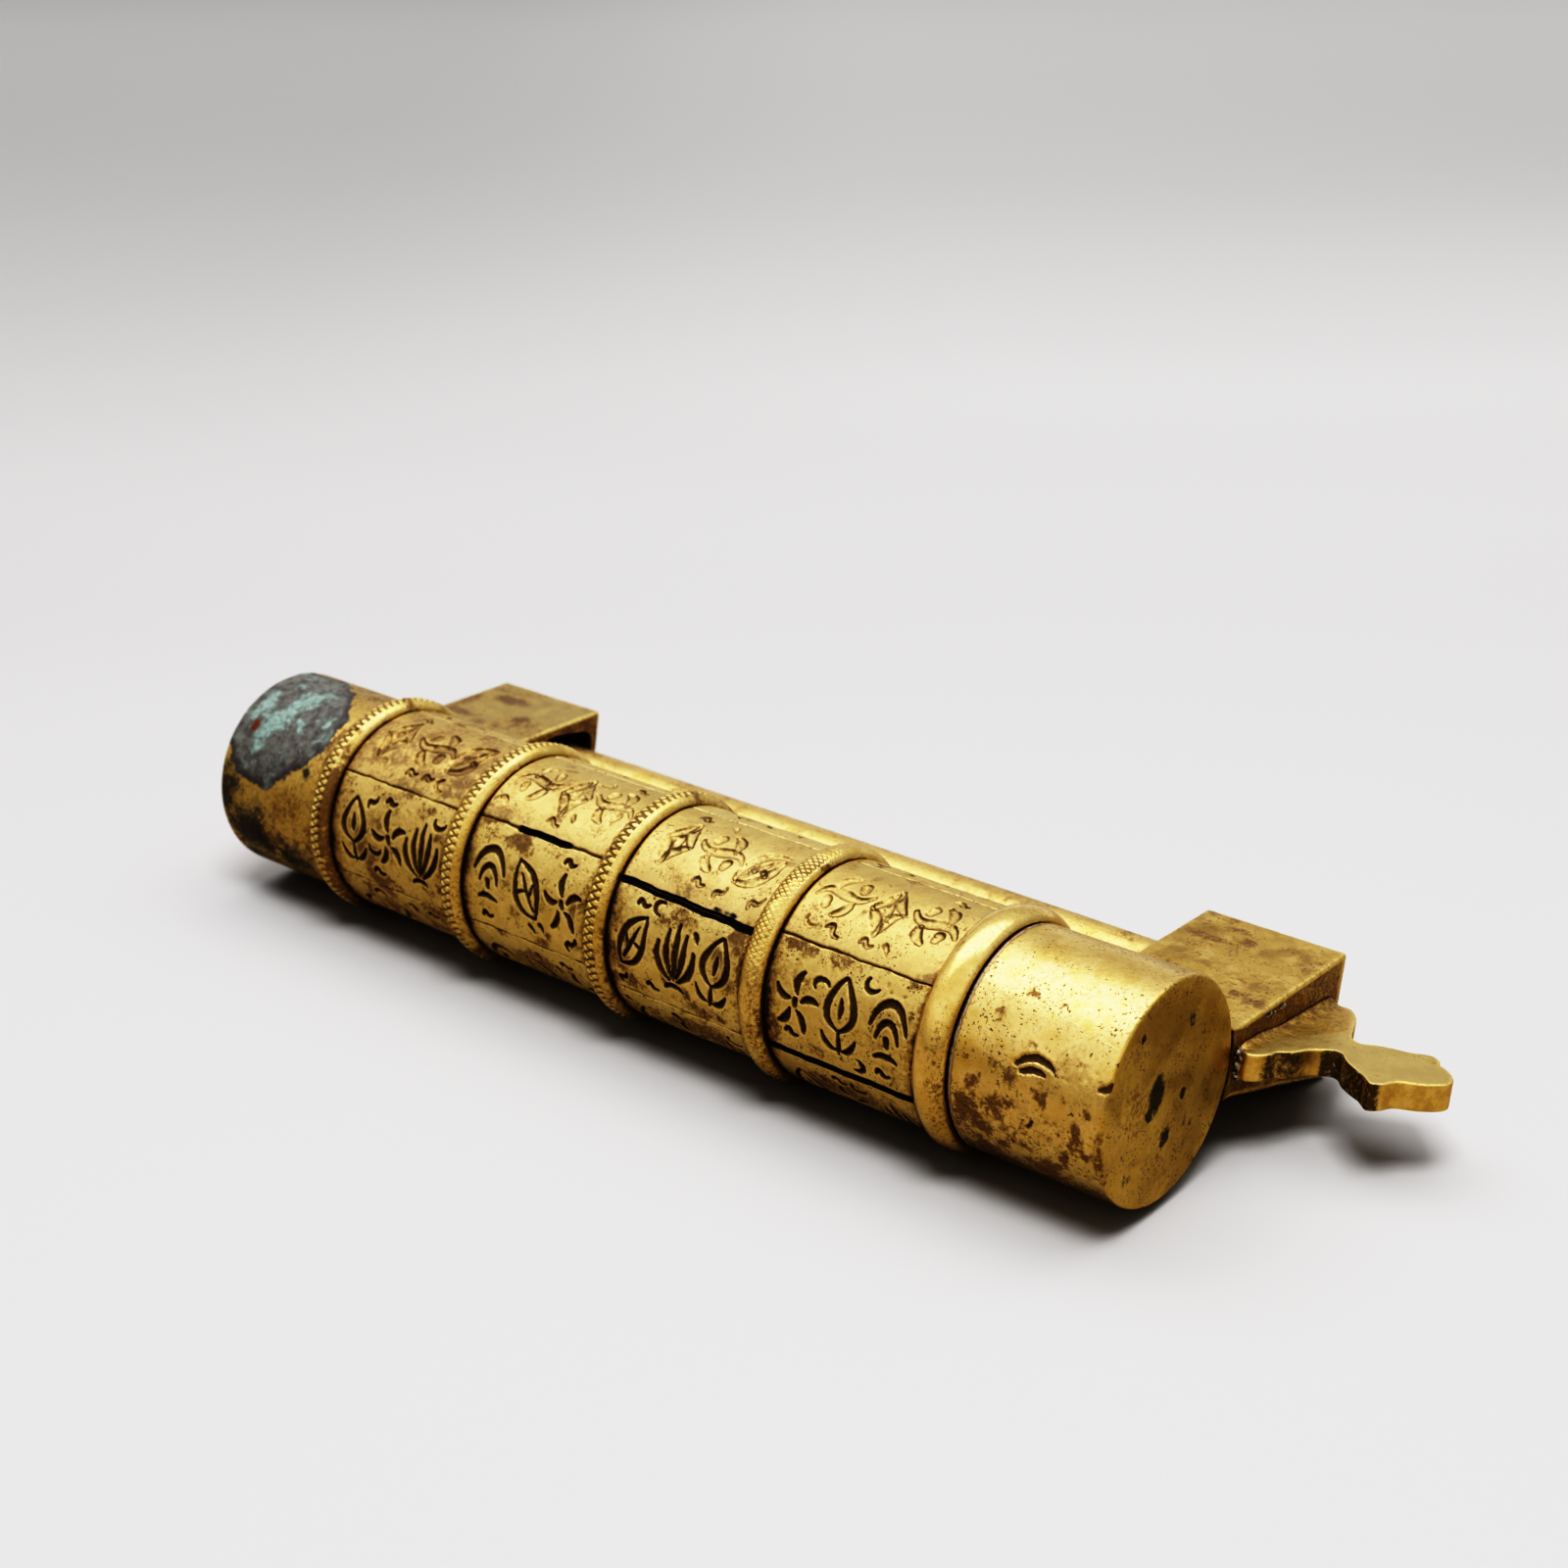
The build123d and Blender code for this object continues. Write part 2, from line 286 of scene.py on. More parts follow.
def carve(p, q, strokes):
    """strokes: (line (n, 2), half widths (n,), depth).
    Returns 0..1 fields: the groove, the burr beside it, and its outline."""
    cut, lip, rim = (np.zeros_like(p) for _ in range(3))
    for line, widths, depth in strokes:
        line = np.asarray(line, float)
        low, high = line.min(0) - 1.8, line.max(0) + 1.8
        near = (p > low[0]) & (p < high[0]) & (q > low[1]) & (q < high[1])
        if not near.any():
            continue
        best = stroke_distance(p[near], q[near], line, widths, start=9.0, least=0.08)
        gap = (best - 1) * float(np.mean(widths))
        burr = np.exp(-((gap - 0.16) / 0.13) ** 2) * depth * (1.0 if len(line) > 3 else 0.3)
        cut[near] = np.maximum(cut[near], np.clip(1 - best ** 3.0, 0, 1) * depth)
        lip[near] = np.maximum(lip[near], burr)
        rim[near] = np.maximum(rim[near], np.exp(-(gap / 0.15) ** 2) * depth)
    return cut, lip * (cut < 0.02), rim


def patch_distance(x, angle, radius, patch):
    """elliptical distance to a patch (x, angle, half length, half width along the arc, ...)"""
    return np.hypot((x - patch[0]) / patch[2],
                    np.radians(wrap(angle - patch[1])) * radius / patch[3])


def spots(x, angle, radius, patches):
    """soft round marks; the last column of a patch is its strength"""
    mark = np.zeros_like(x)
    for patch in patches:
        dist = patch_distance(x, angle, radius, patch)
        mark = np.maximum(mark, patch[4] * np.clip(1.35 - dist, 0, 1.35) / 1.35)
    return mark


def unroll(points, radius):
    """(x, degrees) -> (x, arc length)"""
    points = np.array(points, float)
    return np.stack([points[:, 0], np.radians(points[:, 1]) * radius], 1)


# ---------------------------------------------------------------------------------------------
# ornament: plant and geometric motifs, drawn in a square from -1 to 1
# ---------------------------------------------------------------------------------------------


def arc(cx, cy, rx, ry, start, end, count):
    t = np.radians(np.linspace(start, end, count))
    return np.stack([cx + rx * np.cos(t), cy + ry * np.sin(t)], 1)


def bezier(count, *points):
    points = np.array(points, float)
    t = np.linspace(0, 1, count)[:, None]
    s = 1 - t
    if len(points) == 3:
        return s ** 2 * points[0] + 2 * t * s * points[1] + t ** 2 * points[2]
    return (s ** 3 * points[0] + 3 * t * s ** 2 * points[1] + 3 * t ** 2 * s * points[2]
            + t ** 3 * points[3])


def polar(angle, radius):
    return (radius * math.cos(math.radians(angle)), radius * math.sin(math.radians(angle)))


def taper(count, start, end):
    """half widths that swell from start to 1 and fall to end"""
    t = np.linspace(0, 1, count)
    bulge = np.sin(t * np.pi)
    return np.where(t < 0.5, start + (1 - start) * bulge, end + (1 - end) * bulge)


def stroke(line, width, start, end):
    return (line, taper(len(line), start, end) * width, 1.0)


def pair(line, width, start, end):
    """a stroke and its mirror image across the motif's own axis"""
    return [stroke(line, width, start, end), stroke(line * (-1, 1), width, start, end)]


def dot(x, y, size):
    ends = np.array([[x - size * 0.3, y + size], [x + size * 0.3, y - size]])
    return (ends, np.array([0.85, 0.7]), 0.95)


MOTIFS = {
    # five petals round a seed
    "rosette": [
        stroke(bezier(8, polar(90 + 72 * k, 0.30), polar(112 + 72 * k, 0.66),
                      polar(90 + 72 * k, 1.0)), 0.95, 0.45, 0.5) for k in range(5)
    ] + [dot(0, 0, 0.08)],
    # palmette on a short foot
    "palmette": [
        stroke(bezier(9, (0, -0.62), (0.02, 0.2), (0, 0.95)), 0.9, 0.5, 0.45),
        *pair(bezier(9, (0.12, -0.55), (0.52, 0.05), (0.40, 0.72)), 0.9, 0.45, 0.5),
        *pair(bezier(10, (0.20, -0.66), (0.98, -0.30), (0.86, 0.34)), 0.95, 0.45, 0.55),
        stroke(arc(0, -0.95, 0.42, 0.16, 10, 170, 8), 0.7, 0.5, 0.5)],
    # shell of nested ribs
    "shell": [
        stroke(arc(0, -0.55, 0.92, 1.42, 28, 152, 14), 1.0, 0.5, 0.5),
        stroke(arc(0, -0.55, 0.52, 0.86, 22, 158, 12), 0.85, 0.5, 0.5),
        stroke(bezier(8, (-0.5, -0.78), (0, -0.56), (0.5, -0.78)), 0.8, 0.5, 0.5),
        dot(0, -0.28, 0.09)],
    # leaf with veins
    "leaf": [
        stroke(bezier(12, (-0.82, -0.6), (-0.72, 0.72), (0.74, 0.74)), 0.95, 0.4, 0.35),
        stroke(bezier(12, (-0.82, -0.6), (0.5, -0.85), (0.74, 0.74)), 0.85, 0.4, 0.35),
        stroke(bezier(8, (-0.6, -0.42), (-0.1, 0.02), (0.4, 0.45)), 0.6, 0.5, 0.3),
        stroke(bezier(6, (0.02, -0.02), (0.24, -0.08), (0.32, -0.22)), 0.5, 0.5, 0.3),
        stroke(bezier(6, (-0.25, -0.12), (-0.36, 0.08), (-0.28, 0.28)), 0.5, 0.5, 0.3)],
    # closed bud on a stem with two leaves
    "bud": [
        *pair(bezier(12, (0.05, -0.38), (1.18, 0.0), (0.03, 0.95)), 0.95, 0.45, 0.45),
        stroke(bezier(6, (0, -0.05), (0.03, 0.2), (0, 0.45)), 0.7, 0.4, 0.4),
        stroke(bezier(6, (0, -0.46), (0.03, -0.74), (0, -1.0)), 0.6, 0.6, 0.4),
        *pair(bezier(8, (0.12, -0.90), (0.55, -0.92), (0.78, -0.50)), 0.75, 0.4, 0.4)],
    # lozenge round a seed
    "lozenge": [
        stroke(bezier(8, (0, 0.92), (0.18, 0.28), (0.74, 0.0)), 0.85, 0.4, 0.4),
        stroke(bezier(8, (0.74, 0.0), (0.18, -0.28), (0, -0.92)), 0.85, 0.4, 0.4),
        stroke(bezier(8, (0, -0.92), (-0.18, -0.28), (-0.74, 0.0)), 0.85, 0.4, 0.4),
        stroke(bezier(8, (-0.74, 0.0), (-0.18, 0.28), (0, 0.92)), 0.85, 0.4, 0.4),
        dot(0, 0, 0.13)],
    # waving stem with two leaflets
    "vine": [
        stroke(bezier(16, (-1.0, -0.25), (-0.45, 0.62), (0.35, -0.62), (1.0, 0.25)),
               0.95, 0.4, 0.4),
        stroke(bezier(8, (-0.42, 0.20), (-0.48, 0.66), (-0.02, 0.84)), 0.85, 0.4, 0.5),
        stroke(bezier(8, (0.42, -0.20), (0.48, -0.66), (0.02, -0.84)), 0.85, 0.4, 0.5),
        dot(0.46, 0.46, 0.09), dot(-0.46, -0.46, 0.09)],
}
WAVE = np.concatenate([bezier(6, (-0.5, -0.12), (-0.34, 0.34), (-0.08, 0.02)),
                       bezier(6, (-0.08, 0.02), (0.12, -0.3), (0.5, -0.02))[1:]])


def place(line, cx, cy, sx, sy, turn):
    line = line * (sx, sy)
    c, s = math.cos(turn), math.sin(turn)
    return np.stack([c * line[:, 0] - s * line[:, 1] + cx,
                     s * line[:, 0] + c * line[:, 1] + cy], 1)


def wave(cx, cy, size, turn, width, depth):
    return (place(WAVE, cx, cy, size, size, turn), taper(len(WAVE), 0.7, 0.5) * width, depth)


# Each layout: its motifs (name, x from the dial's left end, offset from the panel's middle,
# half width, half height, turn, flipped), then its small waves (x, offset).
PANEL_LAYOUTS = [
    ([("bud", 4.4, 0.0, 3.1, 4.6, 0.08, 0), ("rosette", 11.1, 0.1, 3.2, 3.9, 0.2, 0),
      ("palmette", 17.7, -0.1, 3.3, 4.5, 0.0, 0)], [(9.6, -4.9), (10.4, 5.2)]),
    ([("leaf", 4.6, 0.1, 3.3, 4.3, 0.25, 0), ("palmette", 11.2, -0.1, 3.3, 4.6, 0.0, 0),
      ("bud", 17.8, 0.1, 3.1, 4.7, -0.08, 0)], [(7.6, -5.0), (5.0, 5.3)]),
    ([("rosette", 4.6, 0.0, 3.2, 3.9, -0.1, 0), ("bud", 11.3, 0.0, 3.2, 4.8, 0.06, 0),
      ("shell", 18.0, 0.1, 3.2, 4.2, 0.0, 0)], [(4.4, -4.0), (17.8, -5.0)]),
    ([("vine", 4.9, 0.2, 3.6, 3.9, 0.0, 0), ("lozenge", 11.6, 0.0, 3.0, 4.2, 0.1, 0),
      ("vine", 18.0, 0.1, 3.4, 3.9, 0.0, 1)], [(11.6, -5.2), (18.2, 5.3)]),
    ([("shell", 4.5, 0.1, 3.2, 4.1, 0.05, 0), ("leaf", 11.2, 0.1, 3.4, 4.4, -0.2, 1),
      ("rosette", 17.9, 0.0, 3.2, 3.9, 0.1, 0)], [(4.6, -5.3), (17.4, 5.3)]),
    ([("lozenge", 4.6, 0.0, 3.0, 4.2, -0.1, 0), ("vine", 11.4, 0.2, 3.6, 3.9, 0.05, 1),
      ("leaf", 18.0, 0.1, 3.2, 4.2, 0.1, 0)], [(11.2, -4.7), (4.8, 5.3)]),
]
# (dial, panel) -> layout; the other panels draw theirs at random
FIXED_LAYOUT = {(0, 0): 0, (0, 1): 5, (1, 0): 4, (1, 1): 3, (2, 0): 1, (2, 1): 5,
                (3, 0): 2, (3, 1): 3}
WORN_PANEL = 1
PANEL_DEPTH = {0: 1.0, WORN_PANEL: 0.6}  # engraving depth; 0.85 on the others
MARKS_PER_PANEL, MARK_TRIES, MARK_CLEARANCE = 3, 160, 1.6


def panel_strokes(dial, panel):
    rng = np.random.RandomState(100 * dial + panel + 7)
    drawn = int(rng.randint(0, 6))
    motifs, waves = PANEL_LAYOUTS[FIXED_LAYOUT.get((dial, panel), drawn)]
    depth = PANEL_DEPTH.get(panel, 0.85)
    width = 0.82 if panel == WORN_PANEL else 0.52
    strokes = []
    for name, cx, cy, sx, sy, turn, flipped in motifs:
        cx += rng.uniform(-0.25, 0.25)
        cy += rng.uniform(-0.3, 0.3)
        turn += rng.uniform(-0.06, 0.06)
        for line, widths, share in MOTIFS[name]:
            placed = place(line, cx, cy, -sx if flipped else sx, sy, turn)
            strokes.append((placed, widths * width, share * depth))
    for cx, cy in waves:
        strokes.append(wave(cx, cy, 1.9, rng.uniform(-0.35, 0.1), 0.36, depth))
    # small waves, hooks and ticks in the space left over
    taken = np.concatenate([line for line, _, _ in strokes])
    left = MARKS_PER_PANEL
    for _ in range(MARK_TRIES):
        cx, cy = rng.uniform(1.6, 20.6), rng.uniform(-5.4, 5.4)
        if left == 0 or np.min(np.hypot(taken[:, 0] - cx, taken[:, 1] - cy)) < MARK_CLEARANCE:
            continue
        left -= 1
        kind = rng.randint(0, 3)
        if kind == 0:
            mark = wave(cx, cy, rng.uniform(1.8, 2.4), rng.uniform(-0.9, 0.9), 0.34, depth)
        elif kind == 1:
            start = rng.uniform(0, 360)
            mark = (arc(cx, cy, 1.05, 0.85, start, start + 190, 10),
                    taper(10, 0.6, 0.4) * 0.34, 0.9 * depth)
        else:
            tick = np.array([[cx - 0.35, cy + 0.4], [cx, cy], [cx + 0.15, cy - 0.5]])
            mark = (tick, np.array([0.42, 0.32, 0.14]), 0.9 * depth)
        strokes.append(mark)
        taken = np.concatenate([taken, mark[0]])
    return strokes


# ---------------------------------------------------------------------------------------------
# dials
# ---------------------------------------------------------------------------------------------
FIRST_LINE = [32.4, 34.8, 29.2, 31.7]  # angle of each dial's first panel line
R_BORE, R_KEY, R_GROOVE, SLOT_HALF = 7.05, 9.8, 10.3, 1.8
R_SEAT = 13.3  # under the beads
R_FACE = 11.5  # middle ring of a dial's end faces
GROOVE_HALF = 3.0  # half length of the inner groove where the tooth turns
GROOVE_X = -0.12 + 15.0  # its middle, from the dial's left end
DIAL_ROWS, DIAL_COLS = 140, 632
# wide lines: dial -> {line: (half width, depth, from, to, half width outside from..to)}
WIDE_LINES = {1: {0: (0.40, 0.5, 7.0, 16.2, 0.24)},
              2: {0: (0.43, 0.46, 0.2, 23.0, 0.43)},
              3: {5: (0.46, 0.5, 0.0, 24.0, 0.46), 0: (0.2, 0.25, 0, 9, 0.14)}}
# dark stains: (x from the left end, angle, half length, half width along the arc, strength)
STAINS = [
    [(1.5, 62, 2.6, 3.4, .8), (5.4, 50, 3.0, 2.6, .8), (6.0, 69, 2.6, 2.4, .7),
     (13.7, 62, 3.2, 2.6, .9), (17.8, 60, 2.4, 3.4, .9), (10.1, 73, 3.0, 2.2, .7),
     (18.6, 38, 1.0, .8, 1.0), (13.5, 46, 3.6, 1.6, .65), (20.5, 52, 1.6, 3.0, .7),
     (16.1, 24, 1.2, 1.4, .6), (2.0, 20, 1.0, 3.0, .5), (9.5, -42, 4.0, 2.0, .7),
     (18.6, -34, 4.0, 2.0, .7)],
    [(2.4, 38, 2.2, 1.8, .9), (5.2, 41, 2.4, .9, .6), (7.5, 27.5, 2.2, 1.5, .9),
     (10.4, 25, 1.6, 1.0, .5), (3.3, 28, 1.0, 1.0, .6), (14.2, 28.5, 1.8, .8, .5),
     (13.9, 1.0, 1.4, 2.0, .6), (19.6, 3, .5, 3.0, .8), (20.8, 12, .5, 2.6, .6),
     (12, -42, 7, 2.2, .7)],
    [(11.3, 20.5, 2.6, 1.6, .8), (8.4, 17, 1.6, 1.0, .5), (18.3, 9, 1.6, 2.0, .8),
     (19.4, -2, 1.6, 2.0, .95), (20.3, 18, 1.6, 2.4, .95), (21.6, 9, .9, 3.0, .9),
     (2.6, -14, 1.6, 3.0, .8), (3.2, -24, 2.6, 1.4, .9), (14.8, -25, 3.4, 1.0, .7),
     (12, -44, 8, 2.0, .8)],
    [(2.4, 29, 1.6, 1.0, .95), (4.6, 27, 1.8, .7, .7), (10.0, 29.0, 2.4, 1.0, .7),
     (3.1, 42, 1.2, 1.8, .7), (5.6, 46, 1.6, 1.2, .5), (1.4, -18, 1.4, 3.0, .8),
     (21.8, 35, 1.0, 1.0, 1.0), (20.0, 30, 1.2, .8, .7), (22.2, -4, .8, 4.0, .6),
     (8, -20, 3.0, 1.0, .5), (12, -44, 8, 2.2, .8)],
]
SMALL_STAINS = 54


def engrave_panels(dial, along, angle, points):
    """cut, lip, rim, shade (a shadow line beside each cut) and worn fields of the six panels"""
    cut, lip, rim, shade, worn = (np.zeros_like(along) for _ in range(5))
    shift_x = 0.11 * value_noise(points, 1.5, 5)
    shift_arc = 0.11 * value_noise(points, 1.5, 9)
    for panel in range(6):
        turn = wrap(angle - (FIRST_LINE[dial] - 30 + 60 * panel))
        here = np.abs(turn) < 31
        p = along[here] + shift_x[here]
        q = np.radians(turn[here]) * R_DIAL + shift_arc[here]
        strokes = panel_strokes(dial, panel)
        panel_cut, panel_lip, panel_rim = carve(p, q, strokes)
        cut[here] = np.maximum(cut[here], panel_cut)
        lip[here] = np.maximum(lip[here], panel_lip)
        rim[here] = np.maximum(rim[here], panel_rim)
        worn[here] = float(panel == WORN_PANEL)
        if panel == WORN_PANEL:
            shade[here] = unit(carve(p - 0.12, q - 0.26, strokes)[0] - panel_cut)
    return cut, lip, rim, shade, worn


def cut_lines(dial, along, angle, points, depth):
    """the six lines between panels: new depth, line 0..1 and black filling"""
    line, black = np.zeros_like(along), np.zeros_like(along)
    wobble = 0.10 * np.sin(along * 0.9 + dial) + 0.05 * np.sin(along * 2.3)
    for k in range(6):
        side = np.radians(wrap(angle - (FIRST_LINE[dial] + 60 * k))) * R_DIAL + wobble * 0.6
        if dial == 2 and k == 0:
            # this line runs askew by three degrees
            side = side + np.radians(3.0 * along / 23.0) * R_DIAL
        half_width, line_depth = 0.135 + 0.05 * np.sin(along * 0.7 + k), 0.24
        wide = WIDE_LINES.get(dial, {}).get(k)
        if wide:
            wide_half, wide_depth, start, end, outside_half = wide
            inside = smooth(start - 0.6, start + 0.6, along) * (
                1 - smooth(end - 0.6, end + 0.6, along))
            half_width = outside_half * (1 - inside) + wide_half * inside
            line_depth = line_depth * (1 - inside) + wide_depth * inside
        ratio = np.abs(side) / half_width
        groove = unit(1 - ratio ** 2.5)
        depth = np.maximum(depth, line_depth * groove)
        line = np.maximum(line, groove)
        if wide and wide_half > 0.3:
            filled = 1 - smooth(0.85, 1.45, ratio + 0.13 * fbm(points, 0.9, 31, 3))
            black = np.maximum(black, filled * inside)
            if dial == 2:
                # black smeared to one side, and a bright ridge left in the middle
                smear = (smooth(12.5, 15.5, along) * np.exp(-((side - 0.75) / 0.55) ** 2)
                         * (0.55 + 0.8 * fbm(points, 1.2, 33, 2)))
                black = np.maximum(black, 0.62 * unit(smear))
                ridge = (np.exp(-((side - 0.06) / 0.13) ** 2) * inside
                         * smooth(1.5, 4, along) * smooth(21, 15, along)
                         * unit(0.9 + 0.8 * fbm(points, 2.0, 35, 2)))
                depth = depth - 0.26 * ridge
                black = black - 0.95 * ridge
    return depth, line, black


def stain_dial(dial, along, angle, points, worn, coarse, middle, fine):
    tarnish = np.zeros_like(along)
    for patch in STAINS[dial]:
        dist = patch_distance(along, angle, R_DIAL, patch)
        spread = unit(1.55 - dist + 0.8 * coarse + 0.35 * middle)
        tarnish = np.maximum(tarnish, patch[4] * spread)
    rng = np.random.RandomState(500 + dial)
    for _ in range(SMALL_STAINS):
        patch = [rng.uniform(*span) for span in
                 ((0.4, 23), (-180, 180), (0.4, 1.3), (0.35, 1.0), (0.45, 0.85))]
        dist = patch_distance(along, angle, R_DIAL, patch)
        spread = unit(1.45 - dist + 0.8 * middle + 0.5 * fine)
        tarnish = np.maximum(tarnish, patch[4] * spread)
    if dial == 0:
        # the first dial's worn panel kept its old brown skin
        skin = np.clip(0.46 + 0.70 * coarse + 0.40 * middle, 0, 0.85)
        tarnish = np.maximum(tarnish, worn * skin)
    back = (smooth(0.02, 0.5, fbm(points, 5.5, 95, 4) - 0.10)
            * smooth(70, 110, np.abs(wrap(angle - 20))))
    return np.maximum(tarnish, 0.8 * back)


def dial_surface(dial, x, angle, x_left, x_bead):
    """depth and painted masks of a dial's outer surface, out to its bead"""
    along = x - x_left
    points = np.stack([x, 14 * np.cos(np.radians(angle)),
                       14 * np.sin(np.radians(angle)) + 60 * dial], -1)
    cut, lip, rim, shade, worn = engrave_panels(dial, along, angle, points)
    depth = 0.44 * cut - np.where(worn > 0, 0.075, 0.05) * lip
    depth, line, black = cut_lines(dial, along, angle, points, depth)
    # hand-worn surface: soft dents, a slow undulation and fine pits
    depth = depth + 0.055 * fbm(points, 7.0, 3, 3) + 0.022 * fbm(points, 1.6, 11, 2)
    zone = smooth(-0.25, 0.35, fbm(points, 6, 77, 3) + np.where(worn > 0, -0.25, 0.12))
    pits = smooth(0.36, 0.58, fbm(points, 0.75, 21, 2)) * zone
    depth = depth + 0.07 * pits
    # left edge rolled over
    depth = depth + 0.26 * unit(1 - along / 0.55) ** 2
    # dirt and painted shade creeping in from both ends, reaching further and darker low on the dial
    low = smooth(55, 5, np.where(angle < 180, angle, angle - 360))
    coarse = fbm(points, 2.4, 87, 3)
    middle = fbm(points, 1.3, 91, 3)
    fine = fbm(points, 1.1, 89, 3)
    reach = np.maximum(0.38 + 0.85 * low + 0.55 * coarse, 0.12)
    left_dirt_and_shade = np.exp(-along / reach) * (0.58 + 0.75 * low + 0.7 * fine * low)
    right_dirt_and_shade = ((0.45 + 0.60 * low + 0.6 * fine * low)
                  * np.exp(-(x_bead - x) / (0.35 + 0.35 * low)))
    # dark in the cuts, lines and pits; the worn panel has a dark outline and a painted shadow line beside its cuts
    fill = np.maximum(cut * 1.15 * np.where(worn > 0, 0.40, 1.0), line * 0.82)
    beside = np.where(worn > 0, (0.75 * rim * (cut < 0.62) + 0.55 * shade)
                      * np.clip(0.80 + 1.1 * coarse + 0.7 * fine, 0.15, 1.3), 0.30 * rim)
    return depth, {
        "cav": unit(fill + beside + 0.35 * pits),
        "blk": unit(black),
        "dirt": unit(left_dirt_and_shade + right_dirt_and_shade),
        "lip": lip,
        "tarn": stain_dial(dial, along, angle, points, worn, coarse, middle, fine),
        # worn panel: cut floors painted bright, as polish and a painted reflection
        "bright": np.where(worn > 0, 1.4 * cut - 0.4, 0)}


def keyway_ring(theta):
    """inner (u, v) for each angle in radians, with a parallel-sided keyway at 0"""
    mouth, floor = math.asin(SLOT_HALF / R_BORE), math.asin(SLOT_HALF / R_KEY)
    turn = (theta + np.pi) % (2 * np.pi) - np.pi
    step = 2 * np.pi / len(theta)
    outside = np.abs(turn) > mouth
    radius = np.where(outside, R_BORE, R_KEY)
    bent = np.where(outside, turn, np.clip(turn * (floor / (mouth - step)), -floor, floor))
    # the first vertex outside sits on the corner
    corner = outside & (np.abs(turn) <= mouth + step)
    bent = np.where(corner, np.sign(turn) * mouth, bent)
    return -radius * np.cos(bent), radius * np.sin(bent)


def make_dial(dial):
    node = f"dial_{dial + 1}"
    x_left, x_right = x_span(node)
    x_bead = x_span(f"{node}_bead")[0]
    theta = 2 * np.pi * np.arange(DIAL_COLS) / DIAL_COLS
    # stations are denser near both ends
    share = np.linspace(0, 1, DIAL_ROWS)
    stations = x_left + (x_bead - x_left) * (share - 0.045 * np.sin(2 * np.pi * share))
    x, angle = np.meshgrid(stations, np.degrees(theta), indexing="ij")
    depth, masks = dial_surface(dial, x, angle, x_left, x_bead)
    rows = [around(x, R_DIAL - depth, np.radians(angle))]
    groove_right = x_left + GROOVE_X + GROOVE_HALF
    groove_left = x_left + GROOVE_X - GROOVE_HALF
    # (x, radius or None for the keyed bore, dirt), from the bead round through the bore
    rings = [(x_bead, R_SEAT, 0.6), (x_right, R_SEAT, 0.8), (x_right, R_FACE, 0.8),
             (x_right, None, 0.6), (groove_right, None, 0.6), (groove_right, R_GROOVE, 0.6),
             (groove_left, R_GROOVE, 0.6), (groove_left, None, 0.6), (x_left, None, 0.6),
             (x_left, R_FACE, 0.8), (x_left, R_DIAL - 0.9, 0.8)]
    key_u, key_v = keyway_ring(theta)
    for ring_x, radius, _ in rings:
        ring = to_row(ring_x, key_u, key_v) if radius is None else around(ring_x, radius, theta)
        rows.append(ring[None])
    plain_masks = {"cav": 0.15, "blk": 0.0, "lip": 0.0, "tarn": 0.3, "bright": 0.0}
    ring_masks = {key: np.full(len(rings), value) for key, value in plain_masks.items()}
    ring_masks["dirt"] = np.array([ring[2] for ring in rings])
    attrs = {key: join(values, np.repeat(ring_masks[key], DIAL_COLS))
             for key, values in masks.items()}
    quads = grid_quads(DIAL_ROWS + len(rings), DIAL_COLS, True, True)
    return build_mesh(f"{node}_drum", np.concatenate(rows), quads, attrs=attrs, sharp=60)


# ---------------------------------------------------------------------------------------------
# beads: half-round rings, most of them cross-knurled
# ---------------------------------------------------------------------------------------------
# cols around, rows across the section, knurl grooves around, their slant (mm of arc per mm
# across), half width, start and end across the section, depth in mm
BEAD_KINDS = {
    "coarse": dict(cols=1008, rows=44, grooves=84, slant=0.50, half=0.25,
                   start=-1.75, end=0.72, depth=0.27),
    "fine": dict(cols=1180, rows=40, grooves=118, slant=0.75, half=0.17,
                 start=-2.0, end=1.35, depth=0.15),
    "plain": dict(cols=400, rows=34, depth=0.0),
}
BEAD_BASE = R_DIAL - 0.15
BEAD_FOOT = 0.13  # how far the foot reaches towards the next drum


def knurl(bead, across, arc_length):
    """groove depth 0..1; across is 0 at the crest and grows with x"""
    if "grooves" not in bead:
        return np.zeros_like(across)
    pitch = 2 * math.pi * R_BEAD / bead["grooves"]
    groove = 0
    for slant in (bead["slant"], -bead["slant"]):
        turns = (arc_length + slant * (across + 0.75)) / pitch
        off = np.abs(turns - np.round(turns)) * pitch
        groove = np.maximum(groove, unit(1 - (off / bead["half"]) ** 2))
    start, end = bead["start"], bead["end"]
    return (groove * smooth(start - 0.2, start + 0.2, across)
            * (1 - smooth(end - 0.15, end + 0.15, across)))


